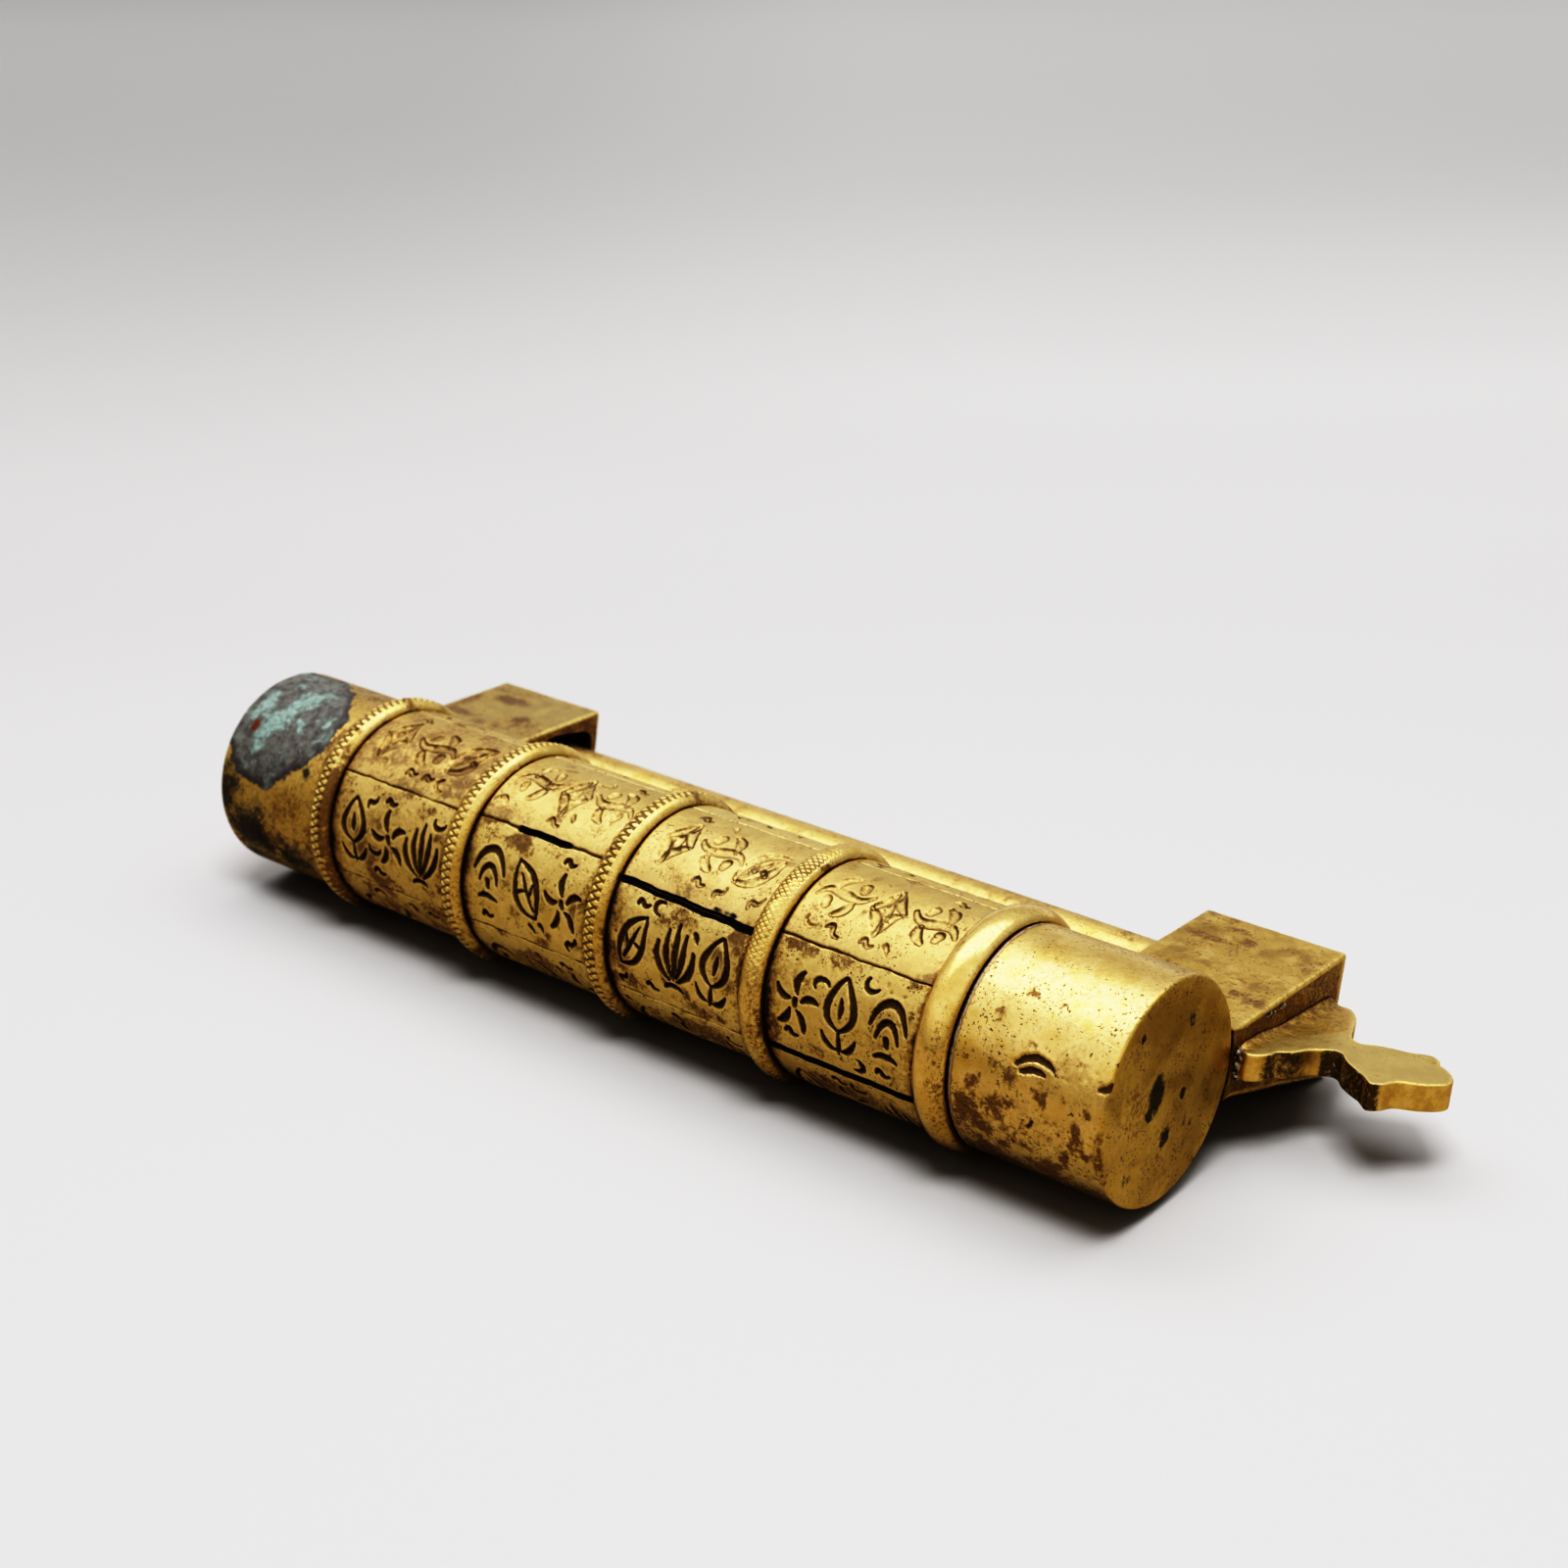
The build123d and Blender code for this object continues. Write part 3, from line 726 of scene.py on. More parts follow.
def make_bead(node, name, kind, seed, ends=None):
    """a full ring, or one running between two end angles in degrees"""
    bead = BEAD_KINDS[kind]
    cols = bead["cols"]
    x_left, x_right = x_span(node)
    x_right += BEAD_FOOT
    half = (x_right - x_left) / 2
    middle = (x_left + x_right) / 2
    height = R_BEAD - BEAD_BASE
    if ends is None:
        ring = 2 * np.pi * np.arange(cols) / cols
    else:
        ring = np.linspace(math.radians(ends[0]), math.radians(ends[1]), cols)
    section, theta = np.meshgrid(np.linspace(0, math.pi, bead["rows"]), ring, indexing="ij")
    points = np.stack([seed * 31 + middle - half * np.cos(section),
                       15 * np.cos(theta), 15 * np.sin(theta)], -1)
    across = (section - math.pi / 2) * np.hypot(half, height) / math.sqrt(2)
    grooves = knurl(bead, across + 0.10 * fbm(points, 5, 41, 2),
                    theta * R_BEAD + 0.14 * fbm(points, 3.0, 43, 2))
    if kind == "fine":
        wear = 0.25 + 0.75 * smooth(-0.35, 0.5, fbm(points, 7.0, 47, 3))
        grooves = grooves * (0.5 + 0.5 * smooth(-0.3, 0.2, fbm(points, 1.1, 53, 2)))
    else:
        wear = 0.85 + 0.45 * fbm(points, 6.0, 47, 3)
    wear = np.clip(wear, 0.1, 1)
    flats = 0.05 * fbm(points, 9.0, 59, 2) + 0.015 * fbm(points, 1.5, 61, 2)
    offset = -bead["depth"] * grooves * wear - 0.5 * np.abs(flats) * np.sin(section)
    x = middle - half * np.cos(section) - offset * np.cos(section) * 0.9
    radius = BEAD_BASE + (height + offset) * np.sin(section)
    rows = [around(np.clip(x, x_left, x_right), radius, theta)]
    rows += [around(ring_x, R_SEAT, ring)[None] for ring_x in (x_right, x_left)]
    grid = np.concatenate(rows)
    quads = grid_quads(len(grid), cols, True, ends is None)
    tris = None
    if ends is not None:
        grid, tris = close_ends(grid)
    hidden = grid.size // 3 - section.size
    # dirt and painted shade at both feet, tarnish in clouds and down the right flank
    dirt = unit(1 - section / 0.40) + (0.42 if kind == "plain" else 0.8) * unit(
        1 - (math.pi - section) / 0.30)
    turn = np.degrees((theta + np.pi) % (2 * np.pi) - np.pi)
    clouds = fbm(points, 4.0, 67, 4)
    if seed == 1:
        # old varnish-like tarnish down the right flank of the first ring
        clouds = clouds + 0.75 * smooth(0.95, 1.45, section / 1.6) * smooth(62, 30, turn)
    flank = 0.45 * smooth(0.75, 1.3, section / 1.6) * smooth(60, -10, turn)
    cloud_share = 0.55 if kind == "plain" else 0.95
    tarnish = np.clip(cloud_share * smooth(0.05, 0.55, clouds - 0.10) + flank, 0, 0.9)
    attrs = {"cav": join(grooves * wear, np.zeros(hidden)),
             "dirt": join(dirt, np.ones(hidden)),
             "tarn": join(tarnish, np.zeros(hidden))}
    return build_mesh(name, grid, quads, tris, attrs, sharp=75)


# ---------------------------------------------------------------------------------------------
# turned pieces: the two caps and the shackle bar
# ---------------------------------------------------------------------------------------------


def lathe(name, profile, cols, field, sharp, centre_u=0.0, pole_mask=None):
    """profile (m, 2) of (x, r), both ends on the axis.
    field(x, degrees, r, points) -> radial offset, axial offset, masks"""
    inner = profile[1:-1]
    theta = 2 * np.pi * np.arange(cols) / cols
    x = np.repeat(inner[:, :1], cols, 1)
    radius = np.repeat(inner[:, 1:], cols, 1)
    angle = np.repeat(np.degrees(theta)[None], len(inner), 0)
    turn = np.radians(angle)
    points = np.stack([x, radius * np.cos(turn), radius * np.sin(turn)], -1)
    out, shift, masks = field(x, angle, radius, points)
    surface = around(x + shift, radius + out, turn, centre_u).reshape(-1, 3)
    poles = to_row(profile[[0, -1], 0], centre_u, 0)
    attrs = {}
    for key, values in masks.items():
        ends = [values[0].mean(), values[-1].mean()] if pole_mask is None else [pole_mask] * 2
        attrs[key] = join(values, ends)
    return build_mesh(name, np.concatenate([surface, poles]), grid_quads(len(inner), cols),
                      pole_fans(len(inner), cols), attrs, sharp)


# outline of the slate-coloured patch: (x, angle)
SLATE_PATCH = [(-34.4, 96), (-27.4, 103), (-20.4, 86), (-15.3, 60), (-15.2, 37), (-18.6, 20),
               (-23.4, 6), (-28.5, 5.5), (-31.7, 12), (-33.6, 28), (-35.0, 50), (-35.2, 80)]
# verdigris streaks in it: points (x, angle), then the half width at each
VERDIGRIS = [
    ([(-22.6, 73.0), (-24.8, 60.0), (-25.6, 48.0), (-27.2, 37.0), (-27.9, 24.0)],
     [1.3, 2.0, 2.1, 1.5, 0.7]),
    ([(-30.6, 62.0), (-30.0, 50.0), (-31.0, 44.0)], [0.9, 1.3, 0.8]),
    ([(-22.8, 50.0), (-21.6, 44.0)], [0.6, 0.5]),
    ([(-29.5, 76.0), (-28.0, 74.0)], [0.7, 0.5]),
    ([(-17.6, 58.0), (-17.9, 50.0)], [0.4, 0.3])]
# (x, angle, half length, half width along the arc, strength)
RED_SPOTS = [(-29.6, 38.0, 1.0, 1.3, 1.0)]
# black patches: those at and below the cap's front are painted shade, darkening it towards the floor; the small
# one at 22 degrees is a stain
SHADE_AND_STAIN_SPOTS = [(-32.0, -6, 4.5, 8, 0.85), (-28, -27, 8, 8, 0.90), (-20, -38, 9, 6, 0.80),
               (-24.5, -10, 4, 5, 0.65), (-30, -60, 9, 11, 0.8), (-16.6, 22, 1.2, 1.4, 1.0),
               (-30.5, 2, 3.0, 3.0, 0.8)]


def inside_distance(x, arc_length, outline):
    """distance to a closed outline, positive inside"""
    dist = np.full(x.shape, 99.0)
    inside = np.zeros(x.shape, bool)
    for a, b in zip(outline, np.roll(outline, -1, 0)):
        dist = np.minimum(dist, segment_distance(x, arc_length, a, b)[0])
        cross_x = (b[0] - a[0]) * (arc_length - a[1]) / (b[1] - a[1] + 1e-9) + a[0]
        inside ^= ((a[1] > arc_length) != (b[1] > arc_length)) & (x < cross_x)
    return np.where(inside, dist, -dist)


def make_left_cap():
    x_left, x_right = x_span("left_end_cap")
    x_bead = x_span("left_end_bead")[0]
    profile = rounded([(x_left + 6.3, 0), (x_left + 6.3, 7.0), (x_right, 7.0),
                       (x_right, R_SEAT), (x_bead, R_SEAT), (x_bead, R_LCAP),
                       (x_left, R_LCAP), (x_left, 0)],
                      {6: 0.7}, [2, 4, 3, 1.2, 0.4, 0.28, 0.6])

    def field(x, angle, radius, points):
        outer = smooth(R_LCAP - 1.2, R_LCAP - 0.2, radius)
        coarse = fbm(points, 5.0, 101, 4)
        middle = fbm(points, 1.6, 103, 3)
        fine = fbm(points, 0.7, 107, 2)
        along, arc_length = x - X0, np.radians(wrap(angle)) * R_LCAP
        inside = inside_distance(along, arc_length, unroll(SLATE_PATCH, R_LCAP))
        inside = inside + 0.9 * middle + 0.35 * fine
        hard = smooth(-0.15, 0.25, inside)
        near = np.full(x.shape, 9.0)
        for line, widths in VERDIGRIS:
            streak = stroke_distance(along, arc_length, unroll(line, R_LCAP), widths)
            near = np.minimum(near, streak)
        verdigris = np.clip(1.35 - 0.85 * near + 1.1 * middle + 0.6 * fine, 0, 1.3) / 1.3
        verdigris = unit(np.maximum(
            verdigris, 0.42 * smooth(0.0, 0.45, middle + 0.4 * coarse))) * hard
        red = spots(along, angle, R_LCAP, RED_SPOTS)
        black = spots(along, angle, R_LCAP, SHADE_AND_STAIN_SPOTS)
        crust = hard * (0.07 + 0.06 * middle + 0.05 * fine) + verdigris * 0.10
        out = crust * outer * 0.8 + 0.03 * coarse * outer - 0.06 * outer
        # darkening at the bead's foot and on the flat ends is dirt and painted shade
        return np.minimum(out, 0.09), 0, {
            "slate": np.where(outer > 0.5, np.clip(inside / 2.6, -1, 1), -1.0),
            "verd": verdigris * outer,
            "red": red * outer,
            "blk2": black * outer * (1 - hard),
            "tarn": outer * (1 - hard) * np.clip(0.45 + 0.9 * coarse, 0, 0.8),
            "dirt": unit(np.exp(-np.abs(x_bead - x) / 0.6) * outer + (1 - outer) * 0.5),
            "cav": np.zeros_like(x)}
    return lathe("left_cap_drum", profile, 360, field, sharp=55)


# gouges: points (x, angle), the half width at each, depth
GOUGES = [
    ([(102.0, 12.0), (102.9, 15.6), (104.3, 17.8), (105.9, 16.8), (106.9, 14.8)],
     [0.3, 0.5, 0.55, 0.45, 0.2], 1.0),
    ([(102.8, 9.4), (104.0, 11.6), (105.2, 12.0), (105.9, 11.0)], [0.35, 0.5, 0.4, 0.2], 1.0),
    ([(112.8, 14.2), (113.5, 15.0), (114.2, 17.4)], [0.35, 0.5, 0.65], 0.75),
    ([(104.4, -17.0), (105.0, -13.0)], [0.35, 0.3], 0.6)]
# (x, angle, half length, half width along the arc, strength)
RIGHT_BLOTS = [
    (96.2, -19, 2.2, 3.0, 1.0), (98.0, -27, 3.0, 2.6, 0.9), (100.6, -33, 2.2, 2.0, 0.85),
    (105.6, 1.0, 2.0, 1.6, 0.7), (101.4, 5.0, 1.5, 1.5, 0.7), (110.8, -11, 1.2, 1.7, 0.9),
    (111.8, -22, 1.1, 2.0, 0.9), (96.6, -3, 1.2, 1.8, 0.75), (99.5, 9, 1.0, 1.0, 0.7),
    (98.2, 30, 0.7, 1.6, 0.6), (100.8, 46, 1.3, 1.0, 0.55), (105, 46, 0.8, 0.6, 0.6),
    (104.0, -30, 3.0, 2.5, 0.6), (108.0, -34, 3, 3, 0.6), (103, -52, 6, 3, 0.5),
    (97.8, 12, 0.8, 0.9, 0.7), (102.6, -8, 1.6, 1.1, 0.6), (108.6, 4, 0.9, 0.7, 0.7),
    (99.0, -10, 1.4, 1.2, 0.7), (100.4, -21, 3.0, 2.0, 0.75), (106.4, -41, 4.5, 2.6, 0.85),
    (98.0, -42, 3.2, 3.4, 0.9), (103.4, -1.5, 0.8, 0.7, 0.7), (95.6, 8, 0.9, 2.2, 0.7),
    (109.3, -28, 2.0, 1.6, 0.7), (103.0, 22, 1.2, 0.6, 0.5), (107.5, -18, 1.8, 1.0, 0.7),
    (111.9, 2, 0.6, 0.9, 0.7), (105.4, 28, 0.7, 0.5, 0.6), (109.8, 22, 0.5, 0.4, 0.8)]
# dark marks on the end face: (u, v, half size in u, in v, strength)
FACE_MARKS = [(-2.6, 0.4, 1.3, 2.1, 1.0), (-3.6, -1.8, 0.8, 0.9, 0.8), (3.4, -0.8, 0.5, 0.7, 1.0),
              (3.0, 8.0, 0.6, 1.0, 0.7), (-7.4, 8.2, 0.5, 0.6, 0.8), (0.6, -5.6, 0.9, 1.2, 0.75),
              (-6.0, -8.0, 1.8, 1.5, 0.4), (2, 12.6, 2.5, 0.4, 0.2), (6.2, -5.0, 0.5, 0.5, 0.6)]


def make_right_cap():
    x_left, x_right = x_span("right_end_cap")
    profile = rounded([(x_right - 6.0, 0), (x_right - 6.0, 4.5), (x_right - 16.0, 4.5),
                       (x_right - 16.0, 11.6), (x_left, 11.6), (x_left, R_RCAP),
                       (x_right, R_RCAP), (x_right, 0)],
                      {5: 0.15, 6: 0.42}, [2, 4, 3, 2, 0.7, 0.24, 0.42])

    def field(x, angle, radius, points):
        outer = smooth(R_RCAP - 0.8, R_RCAP - 0.15, radius) * (x > x_left + 0.02)
        face = (x > x_right - 0.3) * 1.0
        along, turn = x - X0, wrap(angle)
        arc_length = np.radians(turn) * R_RCAP
        from_left = along - (x_left - X0)
        coarse = fbm(points, 6.0, 201, 3)
        middle = fbm(points, 1.7, 203, 3)
        fine = fbm(points, 0.7, 207, 2)
        gouges = [(unroll(line, R_RCAP), widths, depth) for line, widths, depth in GOUGES]
        cut, lip, _ = carve(along, arc_length, gouges)
        zone = unit(0.35 + 0.9 * fbm(points, 6.0, 223, 2)
                    + 0.5 * np.clip((8 - arc_length) / 16, -1, 1))
        pits = smooth(0.34, 0.6, fbm(points, 0.8, 221, 2)) * zone
        out = -(0.30 * cut - 0.05 * lip + 0.06 * pits) * outer + (0.05 * coarse - 0.05) * outer
        shift = face * (-0.03 + 0.035 * coarse + 0.015 * middle) * smooth(0.5, 2, radius)
        # left rim: a ragged pale seam
        seam = unit(1 - np.abs(from_left - 0.36 - 0.12 * middle) / 0.36) * outer
        # blots, and a broken brown band that darkens the cap below angle 0
        blot = spots(along, angle, R_RCAP, RIGHT_BLOTS)
        blot = unit(blot * 1.25 + (0.9 * middle + 0.5 * fine) * (blot > 0.02) - 0.10)
        band = np.clip(0.50 * smooth(6, -14, turn) * smooth(-46, -28, turn)
                       + 0.85 * middle + 0.4 * fine - 0.05, 0, 0.75)
        blot = np.maximum(blot, band * smooth(4, -12, turn) * smooth(-52, -36, turn))
        u, v = -radius * np.cos(np.radians(angle)), radius * np.sin(np.radians(angle))
        marks = np.zeros_like(x)
        for mark_u, mark_v, size_u, size_v, strength in FACE_MARKS:
            dist = np.hypot((u - mark_u) / size_u, (v - mark_v) / size_v)
            marks = np.maximum(marks, strength * unit(1.7 - dist + 0.3 * fine))
        # dirt and painted shade in the seam at the left rim
        rim_dirt_and_shade = (from_left < 0.15) * 1.0 + 0.5 * np.exp(
            -np.clip(from_left - 0.5, 0, 9) / 0.35) * (from_left > 0.5)
        return out, shift, {
            "cav": unit(cut * 1.1 * outer + 0.35 * pits * outer),
            "tarn": unit(blot * outer + face * (0.12 + 0.30 * smooth(0.0, 0.5, coarse))),
            "blk2": face * marks * 0.95,
            "dirt": unit(rim_dirt_and_shade) * (1 - face),
            "seam": seam,
            "face": face}
    return lathe("right_cap_drum", profile, 400, field, sharp=55)


def make_bar():
    x_left = x_span("shackle_bar")[0]
    x_end = x_span("right_arm")[0] + 0.35
    bar_radius = radius_of("shackle_bar")
    profile = rounded([(x_left, 0), (x_left, bar_radius), (x_end, bar_radius), (x_end, 0)],
                      {1: 1.3}, [0.8, 1.0, 1.0])

    def field(x, angle, radius, points):
        hollow = 0.05 + 0.06 * fbm(points, 14.0, 401, 2) + 0.02 * fbm(points, 2.5, 403, 2)
        tarnish = (0.55 * smooth(0.0, 0.5, fbm(points, 9.0, 405, 3))
                   + 0.7 * np.exp(-np.abs(x - (X0 - 9.5)) / 3.0)
                   + 0.5 * np.exp(-np.abs(x - (X0 + 93.0)) / 2.0))
        return -hollow * smooth(0.5, 2, radius), 0, {"tarn": unit(tarnish)}
    return lathe("shackle_bar_rod", profile, 72, field, sharp=50, centre_u=BAR_U, pole_mask=0.5)


# ---------------------------------------------------------------------------------------------
# arms: tapered blocks from the caps to the bar
# ---------------------------------------------------------------------------------------------
ARM_U, ARM_HALF_OUT = 40.3, 8.3  # the outer end, and the half thickness there
ARM_U_IN, ARM_HALF_IN = 14.0, 4.47  # the same at the cap
ARM_SLOPE = (ARM_HALF_OUT - ARM_HALF_IN) / (ARM_U - ARM_U_IN)
ARM_MIDDLE = np.array([28.0, 0.0])
ARM_BEVEL = 0.42
HOLE_HALF, HOLE_POWER = 5.4, 5.0  # rounded square, a superellipse
SIDE, RIGHT, LEFT, BORE = range(4)
# tarnish on the arm's +v face: (x, u, half size in x, in u, strength), keyed by arm seed
ARM_MARKS = {
    1: [(-30.2, 31, 1.6, 3.5, .8), (-17.8, 29.6, 1.5, 1.9, 1.0), (-24.5, 34.5, 3.6, 1.6, .95),
        (-27.5, 26.5, 4.0, 1.6, .8), (-22.4, 25.4, 1.6, 1.3, .9), (-29, 37, 2.5, 1.2, .6),
        (-16, 36, 1.2, 1.0, .35)],
    2: [(100.9, 36.7, 3.4, 1.0, .8), (98.5, 33.0, 3.6, 1.2, .8), (103.6, 34.6, 1.4, 1.2, .9),
        (97.5, 30.0, 2.4, 1.1, .6), (105.0, 26.0, 2.6, 0.7, .5), (109.0, 24.0, 2.6, .7, .5),
        (108, 31, .6, .6, .6), (111, 29, .5, .5, .7), (106, 20.0, 2.8, .7, .5),
        (99, 24, 2.0, .8, .5), (108.6, 36, 1.6, .8, .5)]}


def arm_outline(cap_radius):
    """closed loop of (u, v), its inward normals, and how far each point may move (0..1)"""
    half = ARM_HALF_IN
    for _ in range(8):
        saddle_u = math.sqrt(cap_radius ** 2 - half ** 2)
        half = ARM_HALF_IN + ARM_SLOPE * (saddle_u - ARM_U_IN)
    spread = math.asin(half / cap_radius)
    saddle = [(cap_radius * math.cos(t), cap_radius * math.sin(t))
              for t in np.linspace(-spread, spread, 22)]
    end = rounded([saddle[-1], (ARM_U, ARM_HALF_OUT), (ARM_U, -ARM_HALF_OUT), saddle[0]],
                  {1: 0.55, 2: 0.55}, [0.55, 0.55, 0.55])
    loop = np.concatenate([np.array(saddle), end[1:-1]])
    normals = left_normals(loop)
    normals *= np.sign(np.einsum("ij,ij->i", ARM_MIDDLE - loop, normals))[:, None]
    return loop, normals, smooth(0.1, 2.2, np.hypot(loop[:, 0], loop[:, 1]) - cap_radius)


def make_arm(node, name, cap_radius, has_hole, seed):
    x_left, x_right = x_span(node)
    loop, inward, free = arm_outline(cap_radius)
    cols = len(loop)
    bevel = np.linspace(0, math.pi / 2, 5)
    side_x = join(x_left + ARM_BEVEL * (1 - np.sin(bevel[::-1])),
                  np.linspace(x_left + ARM_BEVEL, x_right - ARM_BEVEL, 38)[1:-1],
                  x_right - ARM_BEVEL * (1 - np.sin(bevel)))
    inset = join(ARM_BEVEL * (1 - np.cos(bevel[::-1])), np.zeros(36),
                 ARM_BEVEL * (1 - np.cos(bevel)))
    side_uv = [loop + inward * (d * free)[:, None] for d in inset]

    around_hole = np.arctan2(loop[:, 1], loop[:, 0] - BAR_U)
    cos_hole, sin_hole = np.cos(around_hole), np.sin(around_hole)
    hole_radius = HOLE_HALF / (np.abs(cos_hole) ** HOLE_POWER
                               + np.abs(sin_hole) ** HOLE_POWER) ** (1 / HOLE_POWER)

    def hole_ring(grow):
        return np.stack([BAR_U + (hole_radius + grow) * cos_hole,
                         (hole_radius + grow) * sin_hole], 1)

    def face(rim, shares, x, kind):
        inner = hole_ring(0.35) if has_hole else ARM_MIDDLE
        return [(rim * (1 - f) + inner * f, x, kind) for f in shares]

    # rows of (uv, x, kind); a solid arm closes at a vertex in each face
    shares = np.linspace(0, 1, 14)[1:] if has_hole else np.linspace(0, 1, 14)[1:-1]
    sides = [(uv, x, SIDE) for uv, x in zip(side_uv, side_x)]
    right = face(side_uv[-1], shares, x_right, RIGHT)
    left = face(side_uv[0], shares[::-1], x_left, LEFT)
    if has_hole:
        bore = [(hole_ring(0.08), x_right - 0.12, BORE)]
        bore += [(hole_ring(0.0), x, BORE) for x in np.linspace(x_right - 0.4, x_left + 0.4, 22)]
        bore += [(hole_ring(0.08), x_left + 0.12, BORE)]
        rows, first = sides + right + bore + left, 0
    else:
        rows, first = left + sides + right, len(left)
    side_rows = slice(first, first + len(sides))
    uv = np.stack([row[0] for row in rows])
    x = np.repeat(np.array([row[1] for row in rows])[:, None], cols, 1)
    kind = np.repeat(np.array([row[2] for row in rows])[:, None], cols, 1)
    points = np.stack([x, uv[..., 0], uv[..., 1] + 100 * seed], -1)
    coarse = fbm(points, 9.0, 301 + seed, 2)
    fine = fbm(points, 2.5, 303 + seed, 3)
    # hand-filed faces: shallow hollows and waves, always inward
    hollow = 0.10 + 0.09 * coarse + 0.025 * fine
    uv[side_rows] += (inward * free[:, None]) * (hollow[side_rows] * 0.9)[..., None]
    dent = 0.05 + 0.04 * coarse
    dented_x = x + np.where(kind == RIGHT, -dent, 0) + np.where(kind == LEFT, dent, 0)
    u, v = uv[..., 0], uv[..., 1]
    surface = to_row(dented_x, u, v).reshape(-1, 3)
    # bright worn edges: near the ends in x and near the outline's outer corners
    edge = np.zeros(x.shape)
    to_corner = np.minimum(np.hypot(loop[:, 0] - ARM_U, loop[:, 1] - ARM_HALF_OUT),
                           np.hypot(loop[:, 0] - ARM_U, loop[:, 1] + ARM_HALF_OUT))
    to_end = np.minimum(side_x - x_left, x_right - side_x)
    edge[side_rows] = np.maximum(unit(1 - to_end / 0.6)[:, None] * free,
                                 unit(1 - to_corner / 0.9))
    broad = (kind == SIDE) & (v > 0) & (u < ARM_U - 0.4)
    tarnish = np.zeros(x.shape)
    for mark_x, mark_u, size_x, size_u, strength in ARM_MARKS[seed]:
        dist = np.hypot((x - X0 - mark_x) / size_x, (u - mark_u) / size_u)
        mark = strength * unit(1.4 - dist + 0.4 * fine)
        tarnish = np.maximum(tarnish, np.where(broad, mark, 0))
    tarnish = np.where((kind == RIGHT) | (kind == LEFT), 0.78 + 0.25 * fine, tarnish)
    # darkening at the saddle is dirt and painted shade; the bore is painted black as shade in the hole round the
    # bar
    attrs = {"edge": edge, "tarn": tarnish,
             "dirt": unit(1 - (np.hypot(u, v) - cap_radius) / 0.9) * 0.9,
             "blk2": (kind == BORE) * 1.0}
    tris = None
    if not has_hole:
        poles = to_row([x_left + 0.06, x_right - 0.06], *ARM_MIDDLE)
        surface = np.concatenate([surface, poles])
        tris = pole_fans(len(rows), cols)
        attrs = {key: join(values, [0.0, 0.6 if key == "tarn" else 0.0])
                 for key, values in attrs.items()}
    return build_mesh(name, surface, grid_quads(len(rows), cols, has_hole, True), tris, attrs,
                      sharp=48)


# ---------------------------------------------------------------------------------------------
# finial plate, its solder and its fillet, on the right arm's end face
# ---------------------------------------------------------------------------------------------
X_END = x_span("right_end_cap")[1]
FINIAL_TIP = x_span("finial_plate")[1] - X_END
FINIAL_HALF = 1.7  # half thickness
FINIAL_ROUND = 0.26
FINIAL_FLAT_INSET = 0.62
# (distance from the end face, u) along the open side
FINIAL_OUTLINE = [
    (0.0, 15.4), (1.5, 14.4), (2.7, 15.3), (3.5, 16.7), (3.6, 18.2), (4.8, 19.6), (5.7, 22.3),
    (7.2, 24.0), (8.3, 24.3), (9.9, 22.5), (11.6, 21.2), (13.2, 20.2), (14.7, 18.7),
    (15.6, 18.7), (16.5, 20.0), (16.9, 21.4), (17.6, 22.3), (19.2, 23.3), (20.7, 25.0),
    (21.4, 26.6), (21.0, 28.2), (19.9, 29.8), (18.8, 30.7), (17.9, 31.3), (17.3, 32.4),
    (16.2, 33.2), (15.1, 33.0), (13.7, 32.1), (11.5, 31.4), (9.9, 30.7), (8.4, 29.6),
    (7.0, 30.4), (5.9, 32.8), (5.0, 35.0), (3.9, 37.3), (2.5, 39.1), (1.2, 39.5), (0.0, 38.8)]
FINIAL_REACH = 21.4  # the outline's largest distance, scaled to meet FINIAL_TIP


def finial_loop():
    """closed counter-clockwise loop: a Catmull-Rom open side and a straight edge on the arm"""
    outline = np.array(FINIAL_OUTLINE) * (FINIAL_TIP / FINIAL_REACH, 1.0)
    knots = np.vstack([outline[0] * 2 - outline[1], outline, outline[-1] * 2 - outline[-2]])
    curve = []
    for k in range(1, len(knots) - 2):
        a, b, c, d = knots[k - 1:k + 3]
        for t in np.linspace(0, 1, 9)[:-1]:
            curve.append(0.5 * (2 * b + (c - a) * t + (2 * a - 5 * b + 4 * c - d) * t * t
                                + (3 * b - a - 3 * c + d) * t ** 3))
    curve.append(knots[-2])
    curve = np.array(curve)
    curve[:, 0] = np.clip(curve[:, 0], 0, FINIAL_TIP)
    straight = np.linspace(curve[-1, 1], curve[0, 1], 42)[1:-1]
    return np.vstack([curve, np.stack([np.zeros(40), straight], 1)])


